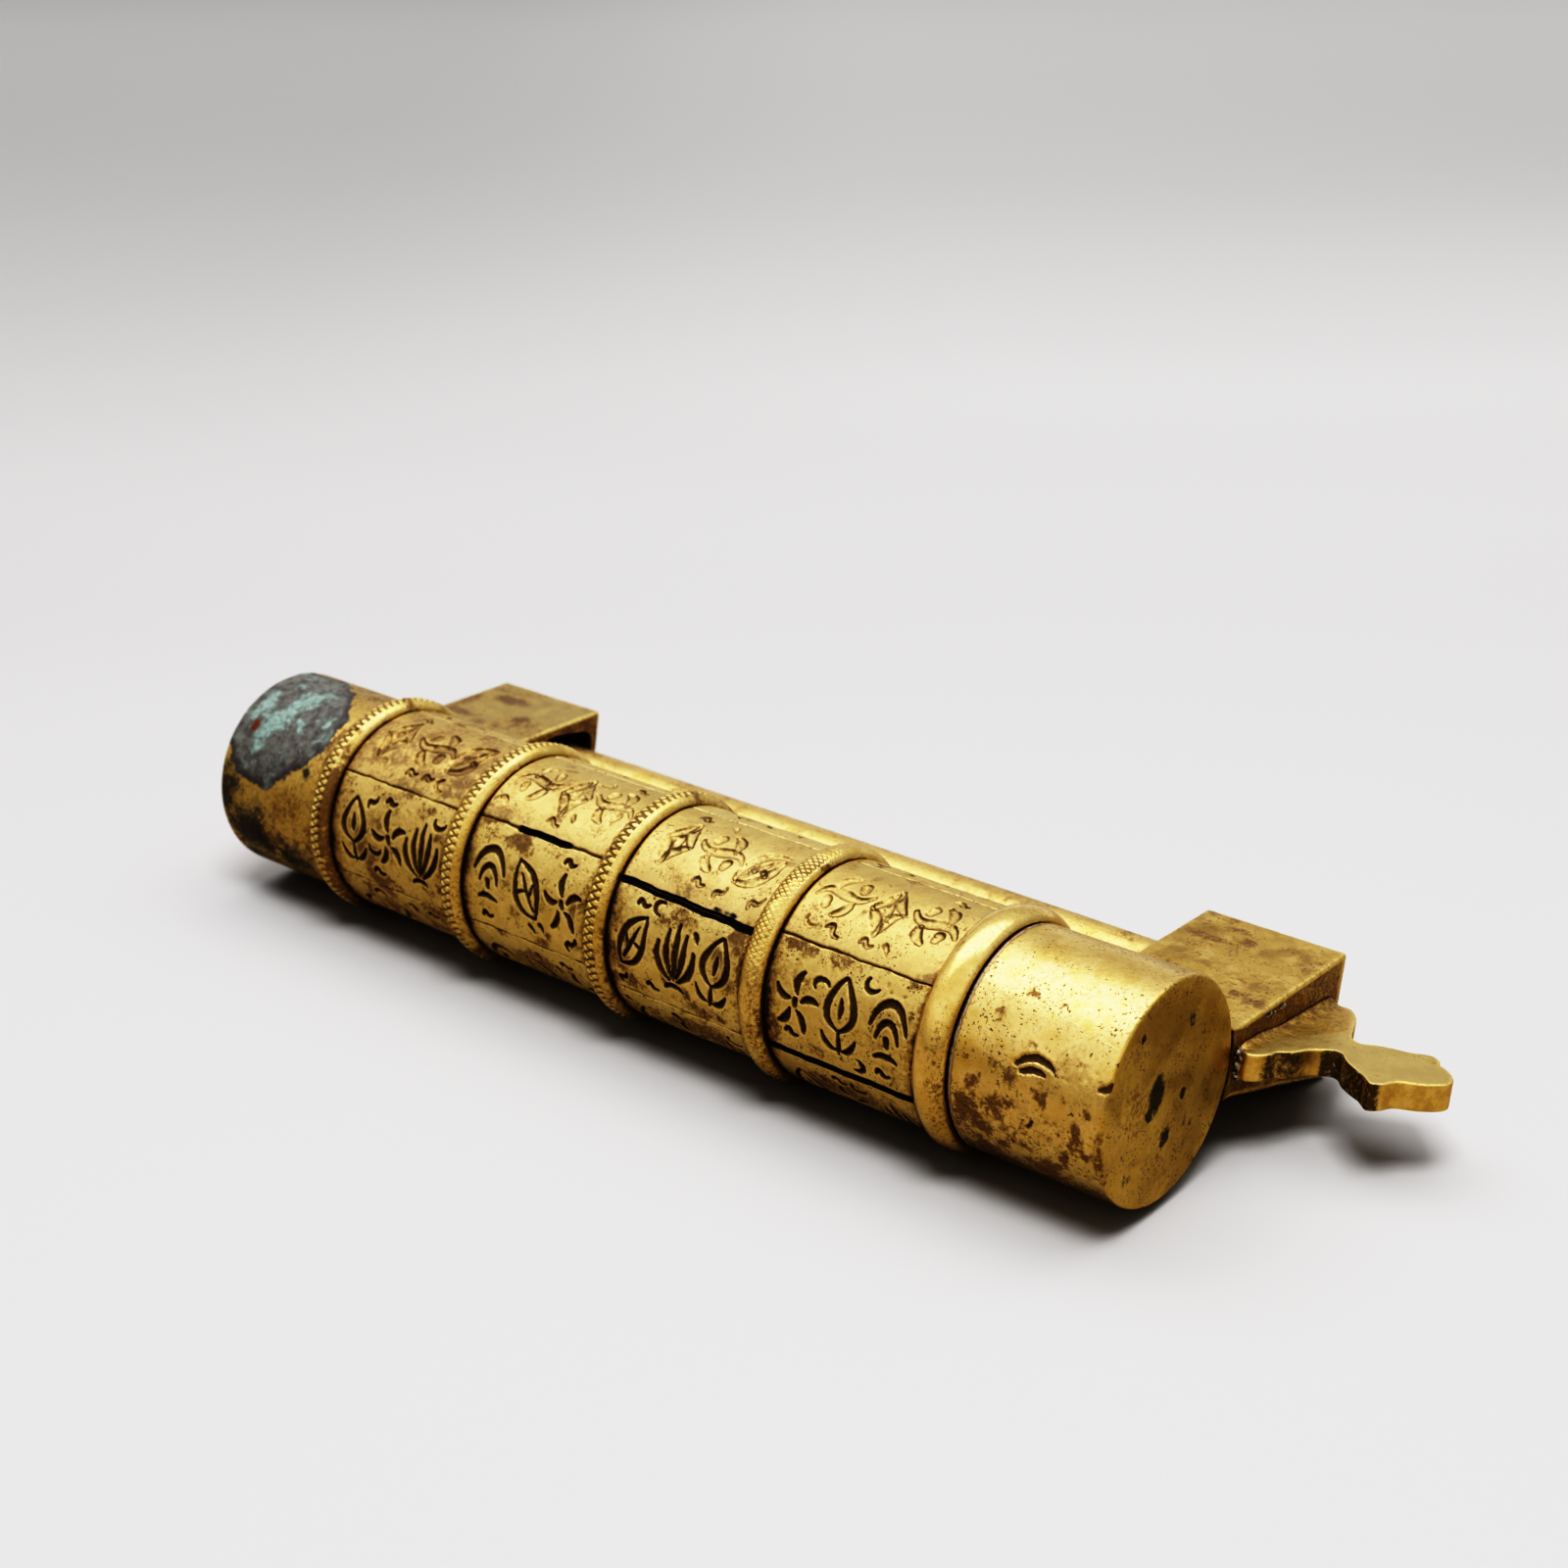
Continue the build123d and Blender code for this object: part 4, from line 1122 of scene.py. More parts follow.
def make_finial():
    loop = finial_loop()
    count = len(loop)
    inward = left_normals(loop)
    reach = loop[:, 0]
    joint = smooth(0.4, 1.0, reach)
    # section from one flat to the other: (inset, v)
    rounding = [(FINIAL_ROUND * (1 - math.cos(math.radians(a))),
                 FINIAL_HALF - FINIAL_ROUND + FINIAL_ROUND * math.sin(math.radians(a)))
                for a in np.linspace(0, 90, 5)]
    side_half = FINIAL_HALF - FINIAL_ROUND
    section = ([(FINIAL_FLAT_INSET, -FINIAL_HALF)] + [(d, -v) for d, v in reversed(rounding)]
               + [(0.0, v) for v in np.linspace(-side_half, side_half, 9)[1:-1]]
               + rounding + [(FINIAL_FLAT_INSET, FINIAL_HALF)])
    length = join([0], np.cumsum(np.hypot(*np.diff(loop, axis=0).T)))
    trail = np.stack([length, length * 0 + 3.3, length * 0], -1)
    band = smooth(-0.05, 0.40, fbm(trail, 3.4, 511, 2) - 0.02)
    # the filed neck on the low-u side, with a crust of old solder in it
    near = loop[:, 1] < 27.0
    neck = unit(1 - np.abs(reach - 11.2) / 5.2) * near
    crust = smooth(0.0, 0.5, neck)
    shoulder = unit(1 - np.abs(reach - 3.4) / 0.8) * near
    foot = unit(1 - reach / 1.5) * near
    last = len(section) - 1
    rows = []
    masks = {key: [] for key in ("edge", "side", "band", "crust", "dirt")}
    for k, (inset, v) in enumerate(section):
        ring = loop + inward * (inset * joint)[:, None]
        points = np.stack([ring[:, 0], ring[:, 1], np.full(count, v)], -1)
        hollow = (0.05 * fbm(points, 1.6, 501, 3) + 0.04
                  + crust * (0.12 + 0.16 * fbm(points, 1.1, 503, 3)))
        side = 1 - smooth(0.0, 0.3, inset)
        ring = ring + inward * (unit(hollow) * joint * side)[:, None]
        rows.append(to_row(X_END + ring[:, 0], ring[:, 1], v))
        masks["edge"].append(np.full(count, 1.0 if 0.03 < inset < 0.3
                                     else 0.12 * (inset <= 0.03)))
        masks["side"].append(np.full(count, side))
        masks["band"].append(unit(np.maximum(
            band * 0.85, np.maximum(neck * 0.9, shoulder * 0.8))) * side)
        masks["crust"].append(np.maximum(crust, foot) * side)
        # dirt and painted shade where the plate meets the arm's end face
        masks["dirt"].append(unit(1 - reach / 1.2) * (0.0 if k in (0, last) else 1.0))
    # both flats are triangulated inside the last ring
    flat = loop + inward * (FINIAL_FLAT_INSET * joint)[:, None]
    tris = np.array(tessellate_polygon([[Vector((a, b, 0)) for a, b in flat]]), int)
    one, two = flat[tris[:, 1]] - flat[tris[:, 0]], flat[tris[:, 2]] - flat[tris[:, 0]]
    turn = np.sign(one[:, 0] * two[:, 1] - one[:, 1] * two[:, 0])
    tris = np.where(turn[:, None] > 0, tris, tris[:, ::-1])
    tris = np.concatenate([tris[:, ::-1] + last * count, tris])
    attrs = {key: np.concatenate(values) for key, values in masks.items()}
    obj = build_mesh("finial_plate_cut", np.concatenate(rows), grid_quads(last + 1, count),
                     tris, attrs, sharp=50)
    # one consistent orientation for rings and flats
    work = bmesh.new()
    work.from_mesh(obj.data)
    bmesh.ops.recalc_face_normals(work, faces=work.faces)
    work.to_mesh(obj.data)
    work.free()
    return obj


# (x past the end face, u, v, half sizes in x, u and v, seed)
SOLDER_LUMPS = [
    (0.35, 15.1, 1.0, 0.55, 0.60, 1.0, 1), (0.40, 15.2, -0.3, 0.55, 0.55, 0.9, 2),
    (0.25, 15.3, -1.5, 0.6, 0.6, 0.45, 3), (0.10, 17.0, -2.3, 0.28, 1.3, 0.30, 4),
    (0.02, 22.6, 4.30, 0.14, 1.5, 0.40, 5), (0.02, 24.9, 4.70, 0.12, 0.8, 0.30, 6),
    (0.3, 36.6, 1.95, 0.30, 0.9, 0.25, 7), (0.02, 33.0, -2.2, 0.20, 1.4, 0.35, 11),
    (0.02, 26.0, -2.2, 0.2, 1.8, 0.35, 12)]
LUMP_ROWS, LUMP_COLS = 12, 22


def lump(x, u, v, size_x, size_u, size_v, seed):
    """points of a small irregular blob, as rings round the x axis and two poles"""
    polar_angle, turn = np.meshgrid(np.linspace(0, np.pi, LUMP_ROWS + 2)[1:-1],
                                    np.linspace(0, 2 * np.pi, LUMP_COLS, endpoint=False),
                                    indexing="ij")
    ball = np.stack([np.cos(polar_angle), np.sin(polar_angle) * np.cos(turn),
                     np.sin(polar_angle) * np.sin(turn)], -1)
    swell = 1 + 0.75 * fbm(ball * 2.0 + seed * 11.0, 0.9, 700 + seed, 3)
    blob = ball * swell[..., None] * (size_x, size_u, size_v)
    skin = to_row(x + blob[..., 0], u + blob[..., 1], v + blob[..., 2]).reshape(-1, 3)
    return np.concatenate([skin, to_row([x + size_x, x - size_x], u, v)])


def make_solder():
    """lumps of grey solder where the plate meets the arm's end face"""
    blobs = [lump(X_END + out, *rest) for out, *rest in SOLDER_LUMPS]
    quads, tris = grid_quads(LUMP_ROWS, LUMP_COLS), pole_fans(LUMP_ROWS, LUMP_COLS)
    bases = [k * len(blobs[0]) for k in range(len(blobs))]
    return build_mesh("finial_solder_lumps", np.concatenate(blobs),
                      np.concatenate([quads + base for base in bases]),
                      np.concatenate([tris + base for base in bases]), sharp=70)


# the fillet's widest reach over the plate, inside the plate's outline: (u, reach)
FILLET_LIMIT = [(15.4, 1.9), (16.7, 2.6), (18, 2.9), (20, 4.1), (22.3, 5.0), (24, 6.4),
                (27, 7.6), (29.6, 7.2), (30.4, 6.1), (32.8, 5.0), (35, 4.1), (37.3, 3.0),
                (38.6, 2.0)]
FILLET_COLS, FILLET_ROWS = 110, 16


def make_fillet():
    """the brazed fillet between the plate's +v face and the arm's end face"""
    u = np.linspace(15.6, 38.6, FILLET_COLS)
    share = np.linspace(0, 1, FILLET_COLS)
    fade = np.clip(np.minimum(share, 1 - share) / 0.07, 0, 1) ** 0.5
    trail = np.stack([u, u * 0, u * 0 + 2], -1)
    height = ((0.75 + 0.9 * smooth(0.35, 0.95, share) + 0.35 * fbm(trail, 4.0, 721, 3))
              * (0.25 + 0.75 * fade))
    reach = ((1.7 + 3.6 * smooth(0.25, 0.75, share) + 0.7 * fbm(trail, 5.0, 723, 3))
             * (0.3 + 0.7 * fade))
    reach = np.minimum(reach, np.interp(u, *np.array(FILLET_LIMIT).T))
    steps = np.linspace(0, 1, FILLET_ROWS)
    rows = []
    for t in steps:
        # concave curve from the arm's face down to the plate
        out = reach * (t ** 1.5)
        v = FINIAL_HALF + height * (1 - t) ** 1.7
        points = np.stack([out, u, v], -1)
        bulge = (0.09 * fbm(points, 1.5, 725, 3) + 0.05) * np.sin(np.pi * t) ** 0.6
        rows.append(to_row(X_END - 0.12 + (out + 0.14), u, v + bulge))
    rows.append(to_row(X_END + reach, u, 1.45))
    rows.append(to_row(X_END - 0.12, u, np.full(FILLET_COLS, 1.45)))
    points, tris = close_ends(np.stack(rows))
    down = join(np.repeat(steps, FILLET_COLS), np.ones(2 * FILLET_COLS + 2))
    # dirt and painted shade in the corner against the arm's face
    return build_mesh("finial_braze_fillet", points,
                      grid_quads(len(rows), FILLET_COLS, True, False), tris,
                      {"tarn": 0.75 - 0.45 * down, "dirt": unit(1 - down * 5)}, sharp=60)


# ---------------------------------------------------------------------------------------------
# shader graphs
# ---------------------------------------------------------------------------------------------


class Value:
    """an output socket; arithmetic on it makes Math nodes"""

    def __init__(self, graph, socket):
        self.graph = graph
        self.socket = socket

    def __add__(self, other):
        return self.graph.math("ADD", self, other)

    def __radd__(self, other):
        return self.graph.math("ADD", other, self)

    def __sub__(self, other):
        return self.graph.math("SUBTRACT", self, other)

    def __rsub__(self, other):
        return self.graph.math("SUBTRACT", other, self)

    def __mul__(self, other):
        return self.graph.math("MULTIPLY", self, other)

    def ramp(self, over, to=(0.0, 1.0)):
        """smooth step from to[0] to to[1] while the value crosses the range over"""
        inputs = {"Value": self, "From Min": over[0], "From Max": over[1],
                  "To Min": to[0], "To Max": to[1]}
        return self.graph.add("MapRange", inputs, "Result", interpolation_type="SMOOTHSTEP")


class Graph:
    """makes nodes in one node tree"""

    def __init__(self, tree):
        self.tree = tree
        tree.nodes.clear()

    def feed(self, socket, value):
        if isinstance(value, Value):
            self.tree.links.new(value.socket, socket)
        elif socket.type == "RGBA":
            socket.default_value = (*value, 1.0)
        else:
            socket.default_value = value

    def node(self, kind, inputs=None, **settings):
        node = self.tree.nodes.new("ShaderNode" + kind)
        for key, value in settings.items():
            setattr(node, key, value)
        for key, value in (inputs or {}).items():
            self.feed(node.inputs[key], value)
        return node

    def add(self, kind, inputs=None, output=0, **settings):
        """a new node's output"""
        return Value(self, self.node(kind, inputs, **settings).outputs[output])

    def math(self, operation, a, b=0.0):
        return self.add("Math", {0: a, 1: b}, operation=operation)

    def largest(self, first, *others):
        for other in others:
            first = self.math("MAXIMUM", first, other)
        return first

    def mix(self, factor, under, over):
        return self.add("Mix", {0: factor, 6: under, 7: over}, 2, data_type="RGBA")

    def blend(self, factor, under, over):
        """mix of two plain numbers"""
        return self.add("Mix", {0: factor, 2: under, 3: over}, data_type="FLOAT")

    def split(self, vector):
        node = self.node("SeparateXYZ", {0: vector})
        return [Value(self, socket) for socket in node.outputs]

    def rays(self):
        """1 on camera rays, and 1 on glossy rays that have not bounced diffusely"""
        path = self.node("LightPath")
        camera, glossy, diffuse_depth = (
            Value(self, path.outputs[key])
            for key in ("Is Camera Ray", "Is Glossy Ray", "Diffuse Depth"))
        return camera, glossy * self.math("LESS_THAN", diffuse_depth, 0.5)


class Material(Graph):
    """a material's graph, with object coordinates in mm"""

    def __init__(self, name):
        self.material = bpy.data.materials.new(name)
        self.material.use_nodes = True
        super().__init__(self.material.node_tree)
        self.output = self.node("OutputMaterial")
        coords = self.add("TexCoord", output="Object")
        self.coords = self.add("Mapping", {"Scale": (1000, 1000, 1000), "Vector": coords})

    def surface(self, shader):
        self.feed(self.output.inputs[0], shader)
        return self.material

    def noise(self, scale, detail, rough, stretch=None, distort=0.0, offset=None):
        vector = self.coords
        if stretch or offset:
            vector = self.add("Mapping", {"Scale": stretch or (1, 1, 1), "Vector": vector,
                                          "Location": offset or (0, 0, 0)})
        return self.add("TexNoise", {"Scale": scale, "Detail": detail, "Roughness": rough,
                                     "Distortion": distort, "Vector": vector}, "Fac")

    def bump(self, height, strength, distance):
        return self.add("Bump", {"Strength": strength, "Distance": distance,
                                 "Height": height})


# ---------------------------------------------------------------------------------------------
# brass
# ---------------------------------------------------------------------------------------------
GOLD_A = (0.64, 0.45, 0.145)
GOLD_B = (0.87, 0.68, 0.300)
OCHRE = (0.42, 0.275, 0.080)
BROWN = (0.140, 0.074, 0.029)
PURPLE = (0.12, 0.062, 0.040)
DIRT_AND_SHADE_HALO = (0.24, 0.120, 0.030)


class Brass(Material):
    """brass laid up in coats; masks names the painted attributes its mesh carries"""

    def __init__(self, name, seed, masks):
        super().__init__(name)
        self.masks = masks
        offset = (seed * 13.7, seed * 5.1, seed * 9.3)
        self.big = self.noise(scale=0.11, detail=5, rough=0.6, offset=offset)
        self.mid = self.noise(scale=0.45, detail=6, rough=0.65, offset=offset)
        self.fine = self.noise(scale=1.9, detail=5, rough=0.65, offset=offset)
        self.grain = self.noise(scale=5.5, detail=3, rough=0.6, offset=offset)
        self.colour = self.dark = None

    def mask(self, name):
        if name not in self.masks:
            return 0.0
        return self.add("Attribute", output="Fac", attribute_name=name)

    def fray(self, value, **gains):
        """value with its borders broken up by the named noises"""
        for name, gain in gains.items():
            value = value + (getattr(self, name) - 0.5) * gain
        return value

    def coat(self, mask, colour, amount=None):
        factor = mask if amount is None else mask * amount
        self.colour = self.mix(factor, self.colour, colour)

    def darken(self, value):
        self.dark = self.largest(self.dark, value)

    def end_face(self, face):
        yellowed = face * self.mid.ramp(over=(0.66, 0.40), to=(0.45, 0.88))
        self.coat(yellowed, colour=(0.64, 0.45, 0.115))
        clouds = self.noise(scale=0.13, detail=5, rough=0.6, distort=0.8, offset=(3, 8, 8))
        self.coat(face * (clouds.ramp(over=(0.44, 0.62)) * 0.50), colour=(0.29, 0.180, 0.045))

    def old_skin(self, skin, seed):
        """brown skin and the pale rubs in it"""
        brown = self.noise(scale=0.16, detail=6, rough=0.62, distort=0.9,
                           offset=(4 + seed, 2, 7))
        pale = self.noise(scale=0.30, detail=5, rough=0.60, distort=0.6,
                          offset=(1, 9 + seed, 3))
        self.coat(brown.ramp(over=(0.47, 0.66)), colour=(0.25, 0.150, 0.042),
                  amount=0.85 * skin)
        self.coat(pale.ramp(over=(0.50, 0.66)), colour=(0.78, 0.60, 0.25), amount=0.55 * skin)

    def brown_patches(self, cloud, tarnish, purple):
        tarn = self.mask("tarn")
        ragged = ((self.fine - 0.5) * 1.8 + (self.mid - 0.5) * 1.1 + (self.grain - 0.5) * 1.0)
        patch = (tarn + ragged).ramp(over=(0.42, 0.86))
        halo = (tarn + ragged).ramp(over=(0.20, 0.60))
        shift = 0.085 * tarnish
        brown = (cloud + self.grain * 0.08).ramp(over=(0.745 - shift, 0.80 - shift))
        self.coat(halo, OCHRE, amount=0.50)
        patches = self.largest(brown * 0.80, patch * 0.90)
        deep = tuple(b * (1 - purple) + p * purple for b, p in zip(BROWN, PURPLE))
        self.coat(patches, self.mix(self.grain.ramp(over=(0.40, 0.62)), deep,
                                    tuple(1.9 * channel for channel in deep)))
        return patches

    def specks(self, strength):
        """clustered small brown marks, and a few larger ones"""
        clusters = self.noise(scale=0.30, detail=3, rough=0.5, offset=(7, 3, 1))
        clusters = clusters.ramp(over=(0.44, 0.60))
        small = self.noise(scale=3.0, detail=2, rough=0.5, offset=(2, 2, 5))
        small = small.ramp(over=(0.60, 0.68)) * clusters
        large = self.noise(scale=1.25, detail=4, rough=0.6, offset=(9, 4, 2))
        zones = self.noise(scale=0.22, detail=2, rough=0.5, offset=(1, 8, 4))
        large = large.ramp(over=(0.63, 0.69)) * zones.ramp(over=(0.47, 0.60))
        specks = self.largest(small * 0.85, large) * (strength + 0.4)
        specks = self.math("MINIMUM", specks, 1.0)
        self.coat(specks, colour=(0.075, 0.036, 0.012), amount=0.85)
        self.dark = specks * 0.6
        return specks

    def rubbed_edges(self):
        lip = self.math("MULTIPLY", self.mask("lip"), 0.9)
        rub = self.largest(self.mask("edge"), lip) * self.fine.ramp(over=(0.36, 0.56))
        self.coat(rub, colour=(0.95, 0.76, 0.32), amount=0.70)

    def worn_panel(self):
        """dull ground; cut floors painted bright, as polish and a painted reflection of the sky"""
        ground = (self.mask("bright") * -1.0).ramp(over=(0.05, 0.35))
        self.coat(ground * self.mid.ramp(over=(0.62, 0.38), to=(0.34, 0.60)),
                  colour=(0.50, 0.365, 0.155))
        cuts = self.fray(self.mask("bright"), fine=0.8).ramp(over=(0.25, 0.7))
        self.coat(cuts, colour=(0.95, 0.78, 0.36), amount=0.75)

    def corner_dirt_and_shade(self):
        # dark dirt and painted shade in corners and joints, with a brown halo
        dirt = self.mask("dirt")
        halo = self.fray(dirt, fine=1.0, mid=0.6).ramp(over=(0.12, 0.60))
        core = self.fray(dirt, fine=1.0, mid=0.6).ramp(over=(0.46, 0.98))
        self.coat(halo, DIRT_AND_SHADE_HALO, amount=0.70)
        self.coat(core, colour=(0.030, 0.016, 0.008), amount=0.95)
        self.darken(core * 0.9)

    def cavities(self, strength):
        # dark fill of cuts, knurls and pits, with a brown halo; on the worn panels it also paints a shadow line
        # beside the cuts
        cav = self.mask("cav")
        halo = self.fray(cav, fine=0.55).ramp(over=(0.08, 0.40))
        core = self.fray(cav, fine=0.45).ramp(over=(0.24, 0.66))
        self.coat(halo, DIRT_AND_SHADE_HALO, amount=0.55 * strength)
        filling = self.mix(self.grain.ramp(over=(0.4, 0.6)), (0.024, 0.012, 0.006),
                           (0.12, 0.060, 0.020))
        self.coat(core, filling, amount=0.90 * strength)
        self.darken(core * (0.90 * strength))

    def black_lines(self):
        black = self.fray(self.mask("blk"), fine=0.3).ramp(over=(0.25, 0.55))
        self.coat(black, colour=(0.006, 0.005, 0.006))
        self.darken(black)

    def black_patches(self, patina):
        # black stains, and black painted in as shade on the left cap's underside and in the left arm's bore
        black = self.fray(self.mask("blk2"), fine=0.8, mid=0.8).ramp(over=(0.30, 0.75))
        colour = (0.018, 0.012, 0.008)
        if patina:
            colour = self.mix(self.mid.ramp(over=(0.42, 0.60)), (0.018, 0.013, 0.010),
                              (0.055, 0.058, 0.054))
        self.coat(black, colour, amount=0.92)
        self.darken(black * 0.9)

    def plate_side(self):
        """the finial's filed side: warm brass, dark bands and pale solder crust"""
        bands = self.fray(self.mask("band"), fine=1.1, mid=1.0).ramp(over=(0.34, 0.86))
        filed = self.mix(self.mid.ramp(over=(0.40, 0.62)), (0.60, 0.385, 0.10),
                         (0.84, 0.62, 0.22))
        self.coat(self.mask("side"), filed, amount=0.75)
        self.coat(bands, colour=(0.060, 0.026, 0.008), amount=0.92)
        self.darken(bands * 0.6)
        crust = self.noise(scale=1.3, detail=4, rough=0.7, distort=0.6, offset=(4, 4, 9))
        crust = crust.ramp(over=(0.55, 0.64)) * self.mask("crust").ramp(over=(0.25, 0.7))
        self.coat(crust, colour=(0.55, 0.50, 0.36), amount=0.9)

    def brush(self, stretch):
        """streaks along one axis"""
        broad = self.noise(scale=1.0, detail=5, rough=0.7, stretch=stretch)
        thin = self.noise(scale=1.0, detail=3, rough=0.6, offset=(5, 5, 5),
                          stretch=tuple(2.3 * s for s in stretch))
        self.height = self.height + broad * 0.6 + thin * 0.3
        self.rough = self.rough + (broad - 0.5) * 0.25
        self.coat(broad.ramp(over=(0.47, 0.34)), OCHRE, amount=0.45)
        self.coat(thin.ramp(over=(0.38, 0.28)), BROWN, amount=0.30)

    def slate_patina(self):
        """a grey crust with a dark border, verdigris streaks, pale glints and a red spot"""
        slate, verd, red = self.mask("slate"), self.mask("verd"), self.mask("red")
        patch = self.fray(slate, fine=0.5).ramp(over=(-0.04, 0.10))
        inner = self.fray(slate, mid=0.6).ramp(over=(0.05, 0.75))
        self.stone = self.noise(scale=0.75, detail=6, rough=0.62, offset=(3, 1, 2))
        grey = self.mix(self.stone.ramp(over=(0.34, 0.66)), (0.100, 0.090, 0.086),
                        (0.225, 0.215, 0.200))
        cloud = self.noise(scale=1.1, detail=7, rough=0.66)
        grey = self.mix(cloud.ramp(over=(0.46, 0.70)) * (inner * 0.85), grey,
                        (0.27, 0.29, 0.25))
        flecks = self.noise(scale=2.2, detail=3, rough=0.6, offset=(8, 8, 1))
        grey = self.mix(flecks.ramp(over=(0.62, 0.74)) * (inner * 0.7), grey,
                        (0.50, 0.51, 0.46))
        grey = self.mix((1.0 - inner) * 0.80, grey, (0.052, 0.042, 0.046))
        stain = self.fray(verd, mid=1.2).ramp(over=(0.05, 0.60))
        grey = self.mix(stain * 0.60, grey, (0.22, 0.27, 0.235))
        self.coat(patch, grey)
        green = self.fray(verd, fine=0.9, stone=1.3).ramp(over=(0.18, 0.98))
        powder = self.mix(self.fray(self.fine, grain=0.6).ramp(over=(0.36, 0.64)),
                          (0.25, 0.37, 0.345), (0.50, 0.635, 0.59))
        self.coat(green * patch, powder, amount=0.86)
        glints = self.noise(scale=1.5, detail=3, rough=0.6, offset=(6, 2, 6))
        glints = glints.ramp(over=(0.66, 0.74)) * (inner * patch)
        self.coat(glints, colour=(0.66, 0.72, 0.68), amount=0.7)
        self.coat(self.fray(red, fine=1.0).ramp(over=(0.25, 0.65)) * patch,
                  colour=(0.17, 0.045, 0.020))
        self.metal = self.metal * (1.0 - patch * 0.96)
        self.rough = self.blend(patch, self.rough, 0.62)
        relief = self.fine * 0.15 + self.stone * 1.2 + green * 0.7
        self.height = self.height + patch * relief
        self.darken(patch * 0.5)

    def pale_seam(self):
        pale = self.fray(self.mask("seam"), fine=1.6, mid=1.2).ramp(over=(0.40, 0.80)) * 0.8
        stain = self.fray(self.mask("seam"), fine=1.2).ramp(over=(0.10, 0.50))
        self.coat(stain, colour=(0.17, 0.085, 0.026), amount=0.75)
        self.coat(pale, colour=(0.50, 0.46, 0.38))
        self.rough = self.rough + stain * 0.2


def brass(name, seed, tarnish, shine, masks=(), gold_a=GOLD_A, gold_b=GOLD_B, brushed=None,
          patina=False, purple=0.0, speck=0.5, cavity=1.0, relief=1.0, skin=0.0):
    """shine is the clean metal's roughness; cavity and relief scale the dark cavity fill (dirt, and painted shadow
    beside the worn panels' cuts) and the bump
    """
    mat = Brass(name, seed, masks + (("slate", "verd", "red") if patina else ()))
    tone = mat.mid * 0.55 + mat.big * 0.6
    mat.colour = mat.mix(tone.ramp(over=(0.42, 0.74)), gold_a, gold_b)
    cloud = mat.big * 0.60 + mat.mid * 0.34 + mat.fine * 0.20
    shift = 0.06 * tarnish
    ochre = cloud.ramp(over=(0.585 - shift, 0.70 - shift))
    mat.coat(ochre, OCHRE, amount=0.62)
    if "face" in masks:
        face = mat.mask("face")
        mat.end_face(face)
    if skin:
        mat.old_skin(skin, seed)
    patches = mat.brown_patches(cloud, tarnish, purple)
    specks = mat.specks(speck)
    if "edge" in masks or "lip" in masks:
        mat.rubbed_edges()
    if "bright" in masks:
        mat.worn_panel()
    if "dirt" in masks:
        mat.corner_dirt_and_shade()
    if "cav" in masks:
        mat.cavities(cavity)
    if "blk" in masks:
        mat.black_lines()
    if "blk2" in masks:
        mat.black_patches(patina)
    if "band" in masks:
        mat.plate_side()
    mat.metal = 1.0 - mat.largest(mat.dark * 0.95, patches * 0.35)
    mat.rough = mat.fray(shine + ochre * 0.05 + patches * 0.14 + mat.dark * 0.22,
                         fine=0.22, mid=0.22)
    mat.height = (mat.fine * 0.70 + mat.grain * 0.34 + mat.mid * 0.9 + specks * -0.6
                  + patches * -0.15)
    if brushed:
        mat.brush(brushed)
    if patina:
        mat.slate_patina()
    if "face" in masks:
        mat.rough = mat.rough + face * 0.08
    if "seam" in masks:
        mat.pale_seam()
    return mat.surface(mat.add("BsdfPrincipled", {
        "Base Color": mat.colour,
        "Metallic": mat.metal,
        "Roughness": mat.math("MINIMUM", mat.largest(mat.rough, 0.12), 0.9),
        "Specular IOR Level": 0.5 - mat.dark * 0.34,
        "Normal": mat.bump(mat.height, strength=0.6 * relief, distance=0.00010)}))


def solder_material():
    mat = Material("grey_solder")
    mottle = mat.noise(scale=1.6, detail=5, rough=0.7, distort=0.5)
    return mat.surface(mat.add("BsdfPrincipled", {
        "Base Color": mat.mix(mottle.ramp(over=(0.42, 0.58)), (0.075, 0.045, 0.022),
                              (0.58, 0.53, 0.40)),
        "Metallic": 0.75,
        "Roughness": 0.42,
        "Normal": mat.bump(mottle, strength=0.8, distance=0.00025)}))


DIAL_LOOKS = [
    dict(tarnish=1.15, shine=0.46, gold_a=(0.58, 0.43, 0.17), gold_b=(0.75, 0.60, 0.29),
         purple=0.60, speck=1.0),
    dict(tarnish=0.55, shine=0.40, gold_a=(0.62, 0.465, 0.175), gold_b=(0.82, 0.672, 0.315),
         purple=0.1, speck=1.0),
    dict(tarnish=0.45, shine=0.41, gold_a=(0.63, 0.475, 0.18), gold_b=(0.83, 0.685, 0.33),
         purple=0.1, speck=1.1),
    dict(tarnish=0.6, shine=0.41, gold_a=(0.59, 0.435, 0.160), gold_b=(0.78, 0.625, 0.275),
         purple=0.1, speck=1.4)]
DIAL_BRASS = [brass(f"engraved_brass_{k + 1}", seed=k + 1.0,
                    masks=("cav", "blk", "dirt", "lip", "tarn", "bright"), **look)
              for k, look in enumerate(DIAL_LOOKS)]
BEAD_MASKS = ("cav", "dirt", "tarn")
BEAD_BRASS = brass("bead_brass", seed=6.0, tarnish=0.35, shine=0.22, speck=0.2,
                   masks=BEAD_MASKS, cavity=0.70)
PLAIN_BEAD_BRASS = brass("plain_bead_brass", seed=6.5, tarnish=0.10, shine=0.14, speck=-0.1,
                         masks=BEAD_MASKS, cavity=0.70, relief=0.35)
LEFT_CAP_BRASS = brass("left_cap_patina", seed=7.0, tarnish=1.0, shine=0.36,
                       gold_a=(0.48, 0.335, 0.12), gold_b=(0.66, 0.50, 0.21), patina=True,
                       speck=0.6, masks=("cav", "dirt", "tarn", "blk2"))
